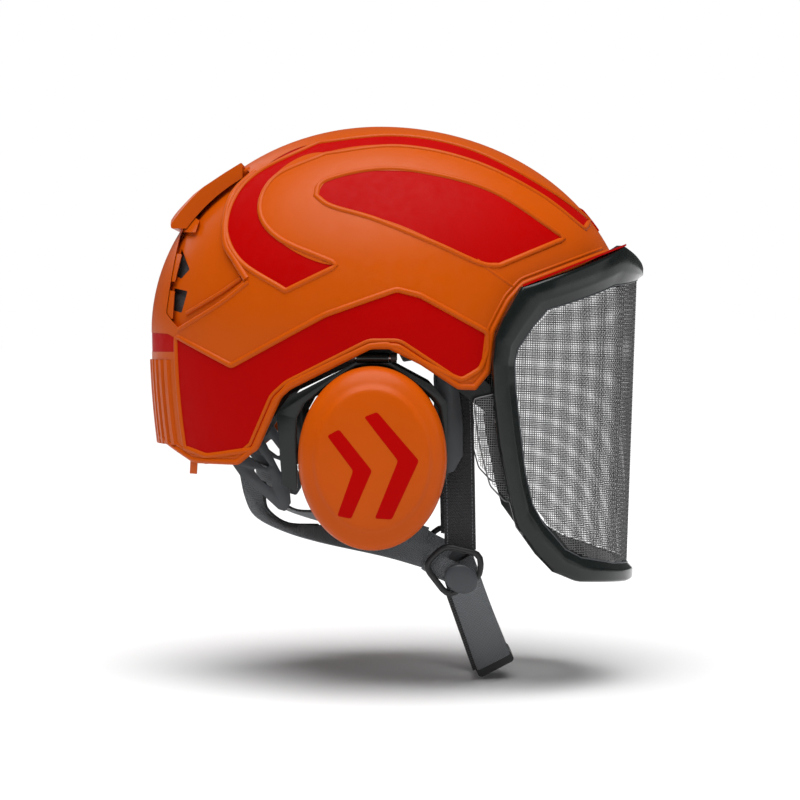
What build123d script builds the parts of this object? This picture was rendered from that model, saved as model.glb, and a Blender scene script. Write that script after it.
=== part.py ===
"""Forestry helmet with ear muffs, mesh visor and chin harness.

Millimetres. +X is forward, +Y is the wearer's left, +Z is up. The origin is the middle of
the headband, level with the top of the ear arches in the shell's rim. Pieces that come in
pairs are drawn on the wearer's left and mirrored.
"""

import os
from functools import cache
from math import cos, pi, radians, sin

from build123d import *

# Shell: four quarter ellipsoids that meet at the dome centre
FRONT_REACH = 165.5
REAR_REACH = 152.0
HALF_WIDTH = 112.0
CROWN_RISE = 135.0
SKIRT_DROP = 300.0
DOME_X = -3.0
DOME_Z = 13.0
SHELL_WALL = 3.2
SEAT_GAP = 0.03

# Coloured inlays set into the shell
INLAY_DEPTH = 1.5
HOOK_INSET = 0.4
INLAY_SINK = 0.3
INLAY_FIT = 0.05
INSERT_BEAD = 5.0
INSERT_HALF_WIDTH = 53.0
INSERT_RIB_PITCH = 8.0
INSERT_RIB_WIDTH = 3.4
INSERT_RIB_HEIGHT = 1.4
INSERT_TOP = -6.0
INSERT_BOTTOM = -61.0

# Rear vents and the foam liner inside the shell
GRILLE_WALL = 2.6
VENT_SPINE = 15.0
LINER_GAP = 0.4
LINER_WALL = 11.5
LIP_RISE = 9.0
LIP_HALF_WIDTH = 40.0
LIP_REAR_HALF_WIDTH = 26.0
LIP_CHANNEL = 16.0
BUMP_RISE = 1.0
BUMP_HALF_WIDTH = 16.0

# Headband and cradle
BAND_HALF_LENGTH = 100.0
BAND_HALF_WIDTH = 82.0
BAND_WALL = 2.0
PAD_WALL = 5.0
PAD_GAP = 0.3
BROW_BOTTOM = 52.0
BROW_TOP = 74.0
PAD_HALF_WIDTH = 42.0
CRADLE_RISE = 90.0
CRADLE_BASE = 22.0
CRADLE_WIDTH = 18.0
CRADLE_WALL = 1.5
CRADLE_TURN = 35.0
CRADLE_SPREAD = 8.0

# Headband adjuster
ADJUSTER_X = -103.0
ADJUSTER_Z = -48.0
HOUSING_DEPTH = 18.0
HOUSING_HALF_WIDTH = 30.0
HOUSING_HEIGHT = 28.0
HOUSING_WALL = 3.0
PINION_TEETH = 8
PITCH_RADIUS = 6.0
TOOTH_REACH = 1.1
MESH_GAP = 0.3
RACK_LENGTH = 46.0
RACK_BACK = 3.0
RACK_DEPTH = 7.0
KNOB_RADIUS = 15.0
KNOB_LENGTH = 11.0
KNOB_RIBS = 18
SHAFT_RADIUS = 3.0
RUNNING_FIT = 0.05

# Visor
VISOR_X = 55.0
VISOR_REACH = 114.5
VISOR_HALF_WIDTH = 111.0
VISOR_WALL = 7.2
VISOR_LEAN = 1.9
MESH_WALL = 0.8
MESH_INSET = 4.0
SEAL_RISE = 1.3
VISOR_PIVOT = (20.0, 5.0)
PIVOT_RADIUS = 4.0
ARM_INNER = 86.0
ARM_WALL = 3.5
ARM_WIDTH = 15.0
ARM_SWEEP = 65.0
LINK_CENTRE = (76.5, -39.0)
LINK_SIZE = (14.0, 12.0)

# Side brackets inside the shell
PLATE_INNER = 97.5
PLATE_WALL = 3.0
SCREW_RADIUS = 2.0
SCREW_HEAD = 4.0
POST_PLACE = (44.0, 32.0)
POST_RADIUS = 3.5

# Ear muffs
EAR_X = -7.0
EAR_Z = -66.5
COVER_HALF_LENGTH = 46.0
COVER_HALF_HEIGHT = 57.0
COVER_INNER = 104.5
COVER_DEPTH = 25.0
COVER_ROUNDING = 15.0
COVER_WALL = 2.4
CHEVRON_DEPTH = 0.8
BASE_HALF_LENGTH = 38.0
BASE_HALF_HEIGHT = 48.0
BASE_INNER = 92.0
CUSHION_INNER = 78.0
CUSHION_HALF_LENGTH = 41.0
CUSHION_HALF_HEIGHT = 51.0
CUSHION_HOLE = (22.0, 32.0)
FOAM_WALL = 6.0
YOKE_INNER = 94.5
YOKE_WALL = 4.0
HINGE_PLACE = (102.0, -4.5)
HINGE_RADIUS = 3.2
HINGE_BORE = 1.5
BARREL_LENGTH = 20.0
LUG_WIDTH = 3.8
LUG_GAP = 1.2
CUP_PIVOT_Z = -72.0
CUP_PIN_RADIUS = 2.0

# Harness
STRAP_WALL = 1.6
GUIDE_INNER = 82.4
GUIDE_WALL = 2.8
NECK_INNER = 70.0
NECK_WALL = 3.0
SLIDER_INNER = 69.2
SLIDER_WALL = 3.4
CAP_PLACE = (48.8, -144.5)
CAP_RADIUS = 11.2
CAP_HEIGHT = 4.0
BUCKLE_CENTRE = (72.5, -207.0)
BUCKLE_TURN = -27.5
BUCKLE_WIDTH = 26.0
BUCKLE_LENGTH = 22.0
BUCKLE_HEIGHT = 8.0
BUCKLE_WALL = 1.8
LUG_REACH = 9.3
PRONG_WIDTH = 3.0

REACH = 400.0
LEFT_HALF = Pos(0, REACH / 2, 0) * Box(REACH, REACH, 2 * REACH)


# ---------------------------------------------------------------- shared shapes


@cache
def dome(inset):
    """Solid dome whose surface lies inset inside the shell's outer surface."""
    whole = None
    for reach, turn in ((FRONT_REACH, -90), (REAR_REACH, 90)):
        for rise, low, high in ((CROWN_RISE, 0, 90), (SKIRT_DROP, -90, 0)):
            ball = Sphere(1, arc_size1=low, arc_size2=high, arc_size3=180, align=None)
            quarter = scale(Rot(0, 0, turn) * ball, by=(reach - inset, HALF_WIDTH - inset, rise - inset))
            whole = quarter if whole is None else whole + quarter
    return Pos(DOME_X, 0, DOME_Z) * whole


def layer(outer_inset, inner_inset):
    """Skin of the dome between two insets."""
    return dome(outer_inset) - dome(inner_inset)


def polygon(points, radius=0.0):
    """Closed face in the X-Z plane with its corners rounded."""
    if radius:
        edges = FilletPolyline(*points, radius=radius, close=True)
    else:
        edges = Polyline(*points, close=True)
    return Plane.XZ * make_face(edges)


def curved(*stretches):
    """Closed face in the X-Z plane: two points make a line, more make a smooth curve."""
    edges = [Line(*run) if len(run) == 2 else Spline(*run) for run in stretches]
    return Plane.XZ * make_face(edges)


def across(face):
    """Prism through the whole width of the helmet."""
    return extrude(face, REACH / 2, both=True)


def slab(face, inner, outer):
    """Prism on the left side between two distances from the middle."""
    return Pos(0, inner, 0) * extrude(face, -(outer - inner))


def left(solid):
    """The part of a solid on the wearer's left."""
    return solid & LEFT_HALF


def mirrored(solid):
    """The same piece for the wearer's right."""
    return mirror(solid, Plane.XZ)


def left_and_right(solid):
    """A solid together with its mirror image."""
    return solid + mirrored(solid)


def joined(solids):
    """Several solids as one."""
    whole = solids[0]
    for solid in solids[1:]:
        whole = whole + solid
    return whole


def rod_y(place, inner, outer, radius):
    """Cylinder along Y between two distances from the middle."""
    middle = (inner + outer) / 2
    return Pos(place[0], middle, place[1]) * Rot(90, 0, 0) * Cylinder(radius, outer - inner)


def rod_x(place, rear, front, radius):
    """Cylinder along X between two places, at a distance from the middle and a height."""
    return Pos((rear + front) / 2, place[0], place[1]) * Rot(0, 90, 0) * Cylinder(radius, front - rear)


def block(x_range, y_range, z_range):
    """Box from its three ranges."""
    centre = [(low + high) / 2 for low, high in (x_range, y_range, z_range)]
    size = [high - low for low, high in (x_range, y_range, z_range)]
    return Pos(*centre) * Box(*size)


def ribbon(stations):
    """Flat strap through stations, each the two edge points of the webbing."""
    sections = []
    middles = [(Vector(a) + Vector(b)) / 2 for a, b in stations]
    for index, (a, b) in enumerate(stations):
        run = middles[min(index + 1, len(middles) - 1)] - middles[max(index - 1, 0)]
        face_way = (Vector(b) - Vector(a)).cross(run).normalized() * (STRAP_WALL / 2)
        corners = (Vector(a) - face_way, Vector(b) - face_way, Vector(b) + face_way, Vector(a) + face_way)
        sections.append(Wire.make_polygon(corners, close=True))
    return Solid.make_loft(sections, ruled=True)


# ---------------------------------------------------------------- shell and inlays


def rim_face():
    """Side outline of the shell: everything above its rim."""
    return polygon(
        (
            (-REACH / 2, REACH / 2),
            (-REACH / 2, -42),
            (-146, -59),
            (-122, -72),
            (-92, -72),
            (-80, -62),
            (-66, -31),
            (-58, -24),
            (-8, 1),
            (8, 1),
            (46, -24),
            (57, -24.5),
            (66, -14),
            (69, 11),
            (79, 30),
            (88, 40),
            (REACH / 2, 83),
            (REACH / 2, REACH / 2),
        ),
        2.0,
    )


def crown_panel_face():
    """Teardrop panel on the side of the crown."""
    return curved(
        ((-41.5, 98), (-37, 106.5), (-9, 113.6), (21, 112.8), (67.9, 100.5), (113.2, 72)),
        ((113.2, 72), (71.7, 54.4)),
        ((71.7, 54.4), (59.8, 55.8), (32.4, 67.9), (-4.5, 83), (-32, 91.5), (-41.5, 98)),
    )


def swoosh_face():
    """Curved stripe that starts above the ear and runs forward along the crown."""
    return curved(
        ((-31, 53), (-61, 38.7)),
        ((-61, 38.7), (-90.6, 58.2), (-99.7, 82.4), (-86, 110.7), (-43.3, 133.9)),
        ((-43.3, 133.9), (9.4, 138.6), (57.2, 129.2), (105.4, 104.4), (134, 86)),
        ((134, 86), (129, 80)),
        ((129, 80), (99.9, 101.4), (56.8, 122.2), (9.4, 131.7), (-38, 126.7)),
        ((-38, 126.7), (-71.2, 111), (-80.1, 88.9), (-67, 69.5), (-31, 53)),
    )


def lower_band_face():
    """Stripe round the lower edge, arched over the ear."""
    return polygon(
        (
            (-160, 12),
            (-139.7, 10.7),
            (-96, -11),
            (-36, 21),
            (8, 36.5),
            (22, 33),
            (63.3, 10.5),
            (63.4, 0),
            (59, -10.5),
            (48.3, -16.8),
            (40, -13.5),
            (2, 5.5),
            (-9, 4.5),
            (-59.5, -19.4),
            (-67, -28),
            (-82, -60.5),
            (-113, -65.7),
            (-129.7, -60.6),
            (-160, -45),
        ),
        2.0,
    )


def insert_block(grow):
    """Room of the ribbed insert at the back of the lower stripe."""
    half = INSERT_HALF_WIDTH + grow
    return block((-REACH / 2, -100), (-half, half), (INSERT_BOTTOM - grow, INSERT_TOP + grow))


def inlay_cutters():
    """Prisms of the inlays, by name, each on the wearer's left."""
    band = left(across(lower_band_face())) - insert_block(INSERT_BEAD)
    return {
        "crown_panel": left(across(crown_panel_face())),
        "swoosh": left(across(swoosh_face())) - block((0, REACH / 2), (0, 7), (60, REACH / 2)),
        "lower_band": band,
    }


def inlay(cutter):
    """One coloured inlay, sitting a little below the shell's surface."""
    return layer(INLAY_SINK, INLAY_DEPTH) & cutter


def rear_insert():
    """Ribbed cover at the back of the lower stripe."""
    cover = layer(INLAY_SINK, INLAY_DEPTH) & insert_block(-INLAY_FIT)
    ribs = layer(-INSERT_RIB_HEIGHT, INLAY_DEPTH) & insert_block(-INLAY_FIT)
    count = int(INSERT_HALF_WIDTH / INSERT_RIB_PITCH)
    for index in range(-count, count + 1):
        y = index * INSERT_RIB_PITCH
        span = (y - INSERT_RIB_WIDTH / 2, y + INSERT_RIB_WIDTH / 2)
        cover = cover + (ribs & block((-REACH / 2, -90), span, (INSERT_BOTTOM, INSERT_TOP)))
    return cover


def vent_face():
    """Side outline of the opening for the rear vents."""
    return polygon(
        (
            (-141, 24),
            (-134, 74),
            (-128, 90),
            (-92, 120),
            (-86, 114),
            (-99, 101),
            (-104, 84),
            (-103, 68),
            (-96, 56),
            (-88, 44),
            (-104, 31),
            (-132, 14),
        ),
        2.0,
    )


def vent_opening(grow):
    """Room of the rear vents on the wearer's left."""
    face = vent_face()
    if grow:
        face = offset(face, grow)
    return across(face) & block((-REACH, 0), (VENT_SPINE - grow, REACH), (-REACH, REACH))


def vent_grille():
    """Sunken scoop behind the shell, with three ribs beside the spine and two air holes."""
    scoop = layer(SHELL_WALL, SHELL_WALL + GRILLE_WALL) & vent_opening(3.0)
    for corners in (
        ((-142, 52), (-134, 70), (-125, 52), (-131, 46)),
        ((-144, 28), (-140, 41), (-126, 38), (-130, 24)),
    ):
        scoop = scoop - (across(polygon(corners, 1.0)) & vent_opening(-3.0))
    for corners in (
        ((-137, 78), (-131, 92), (-120, 84), (-122, 76)),
        ((-145, 46), (-140, 64), (-131, 62), (-135, 44)),
        ((-147, 22), (-145, 40), (-135, 38), (-136, 20)),
    ):
        rib = (layer(0.6, SHELL_WALL) & across(polygon(corners, 1.0))) & vent_opening(-0.3)
        scoop = scoop + rib
    return scoop


def outer_shell(cutters):
    """Hard shell with its pockets, vent openings and the small hooks under the rear rim."""
    wall = layer(0, SHELL_WALL) & across(rim_face())
    deep = dome(INLAY_DEPTH)
    for cutter in cutters.values():
        wall = wall - (left_and_right(cutter) - deep)
    wall = wall - (insert_block(0) - deep)
    wall = wall - left_and_right(vent_opening(0))
    face = polygon(((-124, -66), (-119, -66), (-120, -79), (-125, -79)))
    hook = left(layer(HOOK_INSET, SHELL_WALL - HOOK_INSET) & across(face))
    for solid in (hook, mirrored(hook)):
        wall = wall + solid
    return wall


def plan_wedge(rear_x, rear_half, front_x, front_half):
    """Upright block that widens from one place along X to another."""
    rear = ((rear_x, rear_half), (rear_x, -rear_half))
    front = ((front_x, -front_half), (front_x, front_half))
    corners = (*rear, *front)
    return extrude(make_face(Polyline(*corners, close=True)), REACH, both=True)


def rear_lip():
    """Raised lip over the rear vents, with a channel down its middle."""
    upper = ((-92, 100), (-92, 122), (-104, 115), (-124.7, 102))
    lower = ((-141, 87), (-139.5, 79.5), (-118, 79.5))
    face = polygon((*upper, *lower), 1.0)
    lip = layer(-LIP_RISE, 0) & across(face)
    lip = lip & plan_wedge(-142, LIP_REAR_HALF_WIDTH, -90, LIP_HALF_WIDTH)
    return lip - plan_wedge(-136, LIP_CHANNEL / 3, -80, LIP_CHANNEL)


def brow_bump():
    """Raised bump at the middle of the brow, between the front ends of the two stripes."""
    face = polygon(((122, 97), (131, 92.5), (136.5, 90), (143, 81.5), (139, 75), (122, 84)), 1.0)
    bump = layer(-BUMP_RISE, 0) & across(face)
    return bump & plan_wedge(110, BUMP_HALF_WIDTH, 145, BUMP_HALF_WIDTH * 0.7)


def impact_liner():
    """Foam liner inside the crown of the shell."""
    outer = SHELL_WALL + GRILLE_WALL + LINER_GAP
    face = polygon(
        (
            (-REACH / 2, REACH / 2),
            (-REACH / 2, 2),
            (-78, 2),
            (-60, 46),
            (70, 46),
            (REACH / 2, 92),
            (REACH / 2, REACH / 2),
        ),
        6.0,
    )
    return layer(outer, outer + LINER_WALL) & across(face)


# ---------------------------------------------------------------- brackets inside the shell


def screw_places():
    """Places of the bracket screws, as X and Z."""
    return ((-46.0, 20.0), (4.0, 22.0))


def side_bracket():
    """Plate that carries the ear hinge, the visor pivot and the strap post."""
    top_edge = ((-52, 12), (-50, 28), (20, 31), (42, 41), (49, 34), (46, 22))
    lower_edge = ((34, 12), (32, -4), (12, -7), (4, 8), (-24, 8))
    face = polygon((*top_edge, *lower_edge), 1.5)
    plate = slab(face, PLATE_INNER, PLATE_INNER + PLATE_WALL)
    hinge_y, hinge_z = HINGE_PLACE
    rear = EAR_X - BARREL_LENGTH / 2 - LUG_GAP
    front = EAR_X + BARREL_LENGTH / 2 + LUG_GAP
    for start, end in ((rear - LUG_WIDTH, rear), (front, front + LUG_WIDTH)):
        plate = plate + rod_x(HINGE_PLACE, start, end, HINGE_RADIUS)
        plate = plate + block((start, end), (PLATE_INNER, hinge_y), (hinge_z, 12))
    plate = plate - rod_x(HINGE_PLACE, rear - 2 * LUG_WIDTH, front + 2 * LUG_WIDTH, HINGE_BORE)
    seat = dome(SHELL_WALL + SEAT_GAP)
    for place in screw_places():
        plate = plate + (rod_y(place, PLATE_INNER, HALF_WIDTH, 2 * SCREW_HEAD) & seat)
        plate = plate - rod_y(place, PLATE_INNER - 1, HALF_WIDTH, SCREW_RADIUS)
    plate = plate - rod_y(VISOR_PIVOT, PLATE_INNER - 1, HALF_WIDTH, PIVOT_RADIUS)
    return plate + rod_y(POST_PLACE, GUIDE_INNER - 4, PLATE_INNER + 1, POST_RADIUS)


def bracket_screws():
    """Screws that hold the side brackets and the neck brackets to the shell."""
    screws = []
    for place in screw_places():
        shank = rod_y(place, PLATE_INNER, HALF_WIDTH, SCREW_RADIUS) & dome(SHELL_WALL + SEAT_GAP)
        screws.append(shank + rod_y(place, PLATE_INNER - 2, PLATE_INNER, SCREW_HEAD))
    neck = neck_screw_place()
    inner = neck_bracket_inner()
    shank = rod_y(neck, inner, HALF_WIDTH, SCREW_RADIUS) & dome(SHELL_WALL + SEAT_GAP)
    screws.append(shank + rod_y(neck, inner - 2, inner, SCREW_HEAD))
    return left_and_right(joined(screws))


# ---------------------------------------------------------------- headband and adjuster


def oval(half_length, half_width, low, high):
    """Upright oval block centred on the origin."""
    return Pos(0, 0, low) * extrude(Ellipse(half_length, half_width), high - low)


def headband():
    """Rigid band round the head that rises over the brow and dips at the nape."""
    ring = oval(BAND_HALF_LENGTH + BAND_WALL, BAND_HALF_WIDTH + BAND_WALL, -80, 80)
    ring = ring - oval(BAND_HALF_LENGTH, BAND_HALF_WIDTH, -81, 81)
    face = polygon(
        (
            (50, 30),
            (84, BROW_TOP + 2),
            (120, BROW_TOP + 2),
            (120, BROW_BOTTOM - 2),
            (90, BROW_BOTTOM - 4),
            (68, 22),
            (50, 4),
            (-12, -5),
            (-60, -28),
            (-84, -62),
            (-120, -64),
            (-120, -32),
            (-80, -20),
            (-58, 8),
            (-20, 26),
        ),
        4.0,
    )
    return ring & across(face)


def brow_pad():
    """Soft pad inside the front of the headband."""
    length = BAND_HALF_LENGTH - PAD_GAP
    width = BAND_HALF_WIDTH - PAD_GAP
    ring = oval(length, width, BROW_BOTTOM, BROW_TOP)
    ring = ring - oval(length - PAD_WALL, width - PAD_WALL, BROW_BOTTOM - 1, BROW_TOP + 1)
    return ring & block((0, REACH / 2), (-PAD_HALF_WIDTH, PAD_HALF_WIDTH), (-REACH, REACH))


def cradle_straps():
    """Two crossed webbing arches that carry the crown."""
    radius = BAND_HALF_WIDTH + CRADLE_SPREAD
    outer = Plane.XZ * Ellipse(radius, CRADLE_RISE)
    inner = Plane.XZ * Ellipse(radius - CRADLE_WALL, CRADLE_RISE - CRADLE_WALL)
    hoop = extrude(outer, CRADLE_WIDTH / 2, both=True) - extrude(inner, CRADLE_WIDTH, both=True)
    arch = hoop & block((-REACH, REACH), (-REACH, REACH), (0, REACH))
    crossed = Rot(0, 0, CRADLE_TURN) * arch + Rot(0, 0, -CRADLE_TURN) * arch
    return Pos(0, 0, CRADLE_BASE) * crossed


def tooth(root, tip, root_width, tip_width, depth):
    """Straight tooth that points up +Z from root to tip, centred on Y."""
    points = ((-root_width / 2, root), (root_width / 2, root), (tip_width / 2, tip), (-tip_width / 2, tip))
    return extrude(Plane.YZ * make_face(Polyline(*points, close=True)), depth / 2, both=True)


def pinion_x():
    """Middle of the racks and the pinion along X."""
    return ADJUSTER_X - HOUSING_DEPTH / 2


def adjuster_pinion():
    """Small gear on the knob's shaft."""
    root = PITCH_RADIUS - TOOTH_REACH - MESH_GAP
    gear = Rot(0, 90, 0) * Cylinder(root, RACK_DEPTH)
    for index in range(PINION_TEETH):
        finger = tooth(root - 1, PITCH_RADIUS + TOOTH_REACH, 1.7, 1.0, RACK_DEPTH)
        gear = gear + Rot(index * 360 / PINION_TEETH, 0, 0) * finger
    shaft_end = pinion_x() - HOUSING_DEPTH / 2 - 1
    gear = Pos(pinion_x(), 0, ADJUSTER_Z) * gear
    return gear + rod_x((0, ADJUSTER_Z), shaft_end, pinion_x(), SHAFT_RADIUS)


def rack():
    """Toothed tongue above the pinion that runs out to the left end of the band."""
    pitch = 2 * pi * PITCH_RADIUS / PINION_TEETH
    root = PITCH_RADIUS + TOOTH_REACH + MESH_GAP
    start = -10.0
    bar = block((-RACK_DEPTH / 2, RACK_DEPTH / 2), (start, start + RACK_LENGTH), (root, root + RACK_BACK))
    tip = PITCH_RADIUS - TOOTH_REACH
    for index in range(-2, 6):
        post = Rot(180, 0, 0) * tooth(-root - 0.5, -tip, 1.9, 0.9, RACK_DEPTH)
        bar = bar + Pos(0, (index + 0.5) * pitch, 0) * post
    return Pos(pinion_x(), 0, ADJUSTER_Z) * bar


def ratchet_housing():
    """Box at the nape that the racks slide through."""
    x_range = (ADJUSTER_X - HOUSING_DEPTH, ADJUSTER_X)
    z_range = (ADJUSTER_Z - HOUSING_HEIGHT / 2, ADJUSTER_Z + HOUSING_HEIGHT / 2)
    body = block(x_range, (-HOUSING_HALF_WIDTH, HOUSING_HALF_WIDTH), z_range)
    body = fillet(body.edges().filter_by(Axis.X), 5)
    root = PITCH_RADIUS + TOOTH_REACH + MESH_GAP + RACK_BACK
    room = RACK_DEPTH / 2 + MESH_GAP
    inner = HOUSING_HALF_WIDTH - HOUSING_WALL
    body = body - Pos(pinion_x(), 0, ADJUSTER_Z) * Box(2 * room, 2 * inner, 2 * (root + MESH_GAP))
    tip = PITCH_RADIUS - TOOTH_REACH
    for way in (1, -1):
        z_slot = sorted((way * (tip - MESH_GAP), way * (root + MESH_GAP)))
        y_slot = sorted((way * (inner - 1), way * (HOUSING_HALF_WIDTH + 1)))
        body = body - Pos(pinion_x(), 0, ADJUSTER_Z) * block((-room, room), y_slot, z_slot)
    bore = rod_x((0, ADJUSTER_Z), x_range[0] - 1, pinion_x(), SHAFT_RADIUS + RUNNING_FIT)
    return body - bore


def adjuster_knob():
    """Ribbed knob behind the housing."""
    rear = ADJUSTER_X - HOUSING_DEPTH - 1.0
    knob = rod_x((0, ADJUSTER_Z), rear - KNOB_LENGTH, rear, KNOB_RADIUS)
    knob = chamfer(knob.edges().group_by(Axis.X)[0], 1.5)
    for index in range(KNOB_RIBS):
        angle = radians(index * 360 / KNOB_RIBS)
        place = ((KNOB_RADIUS + 1) * sin(angle), ADJUSTER_Z + (KNOB_RADIUS + 1) * cos(angle))
        knob = knob - rod_x(place, rear - KNOB_LENGTH - 1, rear + 1, 1.8)
    return knob


# ---------------------------------------------------------------- visor


def visor_body(inset):
    """Leaning oval column whose front is the visor's surface."""
    column = extrude(Ellipse(VISOR_REACH - inset, VISOR_HALF_WIDTH - inset), REACH / 2, both=True)
    return Pos(VISOR_X, 0, 0) * Rot(0, VISOR_LEAN, 0) * column


def visor_skin(outer_inset, inner_inset):
    """Upright curved sheet between two insets of the visor's surface."""
    return visor_body(outer_inset) - visor_body(inner_inset)


def visor_rim_face():
    """Side outline of the visor frame."""
    return polygon(
        (
            (86, 39.5),
            (155, 67),
            (170, 52),
            (180, -152),
            (158, -150.5),
            (125, -146),
            (109, -139),
            (97, -127),
            (84, -110),
            (79.5, -94),
            (72, -59),
            (68.2, -26),
            (67.4, -7),
            (69, 8.5),
            (74, 20),
        ),
        1.5,
    )


def visor_window_face():
    """Side outline of the opening in the visor frame."""
    return polygon(
        (
            (103.5, 25.5),
            (190, 55),
            (190, -146),
            (150, -137),
            (127, -131),
            (116, -125),
            (101, -108),
            (94, -96),
            (89, -76),
            (85.5, -48),
            (82.5, -22),
            (82, -7),
            (84, 1),
            (94, 15),
        ),
        1.5,
    )


def visor_frame():
    """Rigid rim of the visor: brow bar, two side members and chin bar."""
    rim = visor_skin(0, VISOR_WALL) & across(visor_rim_face())
    return rim - across(visor_window_face())


def visor_seal():
    """Thin red strip on top of the brow bar."""
    face = polygon(((86.5, 39.7), (155, 67), (155, 67 + SEAL_RISE), (86, 39.7 + SEAL_RISE)))
    return visor_skin(1.0, VISOR_WALL - 1.0) & across(face)


def visor_mesh():
    """Wire mesh set in the frame's window, with a wing behind each side member for the cheek."""
    half = left(visor_skin(MESH_INSET, MESH_INSET + MESH_WALL)) & across(visor_window_face())
    wing_face = polygon(
        (
            (90, -40),
            (92, -94),
            (77, -94),
            (67, -84),
            (62, -67),
            (58.5, -52),
            (56, -30),
            (70, -27),
            (72, -12),
            (78, 3),
            (87, -4),
        ),
        1.0,
    )
    wing = left(visor_skin(VISOR_WALL, VISOR_WALL + MESH_WALL)) & across(wing_face)
    return left_and_right(half) + left_and_right(wing - visor_link(0.5))


def visor_link(grow):
    """Block that joins one arm to the frame outside the shell."""
    half_x = LINK_SIZE[0] / 2 + grow
    half_z = LINK_SIZE[1] / 2 + grow
    x, z = LINK_CENTRE
    room = block((x - half_x, x + half_x), (ARM_INNER, REACH), (z - half_z, z + half_z))
    room = room & visor_body(VISOR_WALL)
    return room - rod_y(VISOR_PIVOT, 0, REACH, ARM_SWEEP - grow)


def visor_arm():
    """Flat arm from the pivot inside the shell to the frame's side member."""
    px, pz = VISOR_PIVOT
    ex, ez = LINK_CENTRE
    length = ((ex - px) ** 2 + (ez - pz) ** 2) ** 0.5
    side = ((pz - ez) / length * ARM_WIDTH / 2, (ex - px) / length * ARM_WIDTH / 2)
    bar = polygon(
        (
            (px + side[0], pz + side[1]),
            (ex + side[0], ez + side[1]),
            (ex - side[0], ez - side[1]),
            (px - side[0], pz - side[1]),
        )
    )
    arm = slab(bar, ARM_INNER, ARM_INNER + ARM_WALL)
    arm = arm + rod_y(VISOR_PIVOT, ARM_INNER, ARM_INNER + ARM_WALL, ARM_WIDTH / 2 + 1)
    arm = arm - rod_y(VISOR_PIVOT, 0, REACH, PIVOT_RADIUS + RUNNING_FIT)
    return arm + visor_link(0)


def visor_pivot_pin():
    """Headed pin that holds one visor arm to the side bracket."""
    shank = rod_y(VISOR_PIVOT, ARM_INNER - RUNNING_FIT, PLATE_INNER + PLATE_WALL + 2, PIVOT_RADIUS)
    head = rod_y(VISOR_PIVOT, ARM_INNER - 2.5, ARM_INNER - 0.3, PIVOT_RADIUS + 3)
    neck = rod_y(VISOR_PIVOT, ARM_INNER - 0.4, ARM_INNER, PIVOT_RADIUS)
    spacer = rod_y(VISOR_PIVOT, ARM_INNER + ARM_WALL + 0.3, PLATE_INNER, PIVOT_RADIUS + 2)
    return shank + head + neck + spacer


# ---------------------------------------------------------------- ear muffs


def ear_oval(half_length, half_height, inner, outer):
    """Oval block of an ear cup between two distances from the middle."""
    face = Plane.XZ * Pos(EAR_X, EAR_Z) * Ellipse(half_length, half_height)
    return slab(face, inner, outer)


def cup_cover_solid(inset):
    """Rounded outer form of the cup cover, shrunk by an inset."""
    block_solid = ear_oval(
        COVER_HALF_LENGTH - inset, COVER_HALF_HEIGHT - inset, COVER_INNER, COVER_INNER + COVER_DEPTH - inset
    )
    return fillet(block_solid.edges().group_by(Axis.Y)[-1], COVER_ROUNDING - inset)


def chevron_faces():
    """The two chevrons on the cover."""
    rear = ((-34.5, -51.8), (-27.1, -47.9), (-7.1, -73.1), (-19.8, -102.5), (-28.4, -101), (-18.6, -73.1))
    front = ((-11.9, -40.3), (-4, -37.2), (21.6, -67), (5, -103), (-5.4, -102.4), (8.8, -67))
    return (polygon(rear, 1.0), polygon(front, 1.0))


def chevron_room(grow):
    """Room of both chevrons through the cover's face."""
    first, second = (offset(face, grow) if grow else face for face in chevron_faces())
    return slab(first, COVER_INNER + 5, REACH) + slab(second, COVER_INNER + 5, REACH)


def cup_cover():
    """Coloured shell of the ear cup."""
    cover = cup_cover_solid(0) - (chevron_room(0) - cup_cover_solid(CHEVRON_DEPTH))
    hollow = cup_cover_solid(COVER_WALL)
    return cover - hollow


def cup_chevrons():
    """Coloured chevrons let into the cover."""
    return (cup_cover_solid(0) - cup_cover_solid(CHEVRON_DEPTH)) & chevron_room(-INLAY_FIT)


def cup_base():
    """Black inner shell of the ear cup, pivoted in the yoke."""
    base = ear_oval(BASE_HALF_LENGTH, BASE_HALF_HEIGHT, BASE_INNER, COVER_INNER)
    base = base - ear_oval(BASE_HALF_LENGTH - 6, BASE_HALF_HEIGHT - 6, BASE_INNER + 3, COVER_INNER + 1)
    base = base - ear_oval(*CUSHION_HOLE, BASE_INNER - 1, COVER_INNER)
    pins = rod_x((YOKE_INNER + YOKE_WALL / 2, CUP_PIVOT_Z), -REACH, REACH, CUP_PIN_RADIUS + RUNNING_FIT)
    return base - pins


def cup_foam():
    """Sound-damping foam inside the cup."""
    inner = COVER_INNER + 1
    return ear_oval(BASE_HALF_LENGTH - 3, BASE_HALF_HEIGHT - 3, inner, inner + FOAM_WALL)


def ear_cushion():
    """Soft ring that seals against the head."""
    ring = ear_oval(CUSHION_HALF_LENGTH, CUSHION_HALF_HEIGHT, CUSHION_INNER, BASE_INNER)
    ring = ring - ear_oval(*CUSHION_HOLE, CUSHION_INNER - 1, BASE_INNER + 1)
    return fillet(ring.edges().group_by(Axis.Y)[0], 4)


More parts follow.
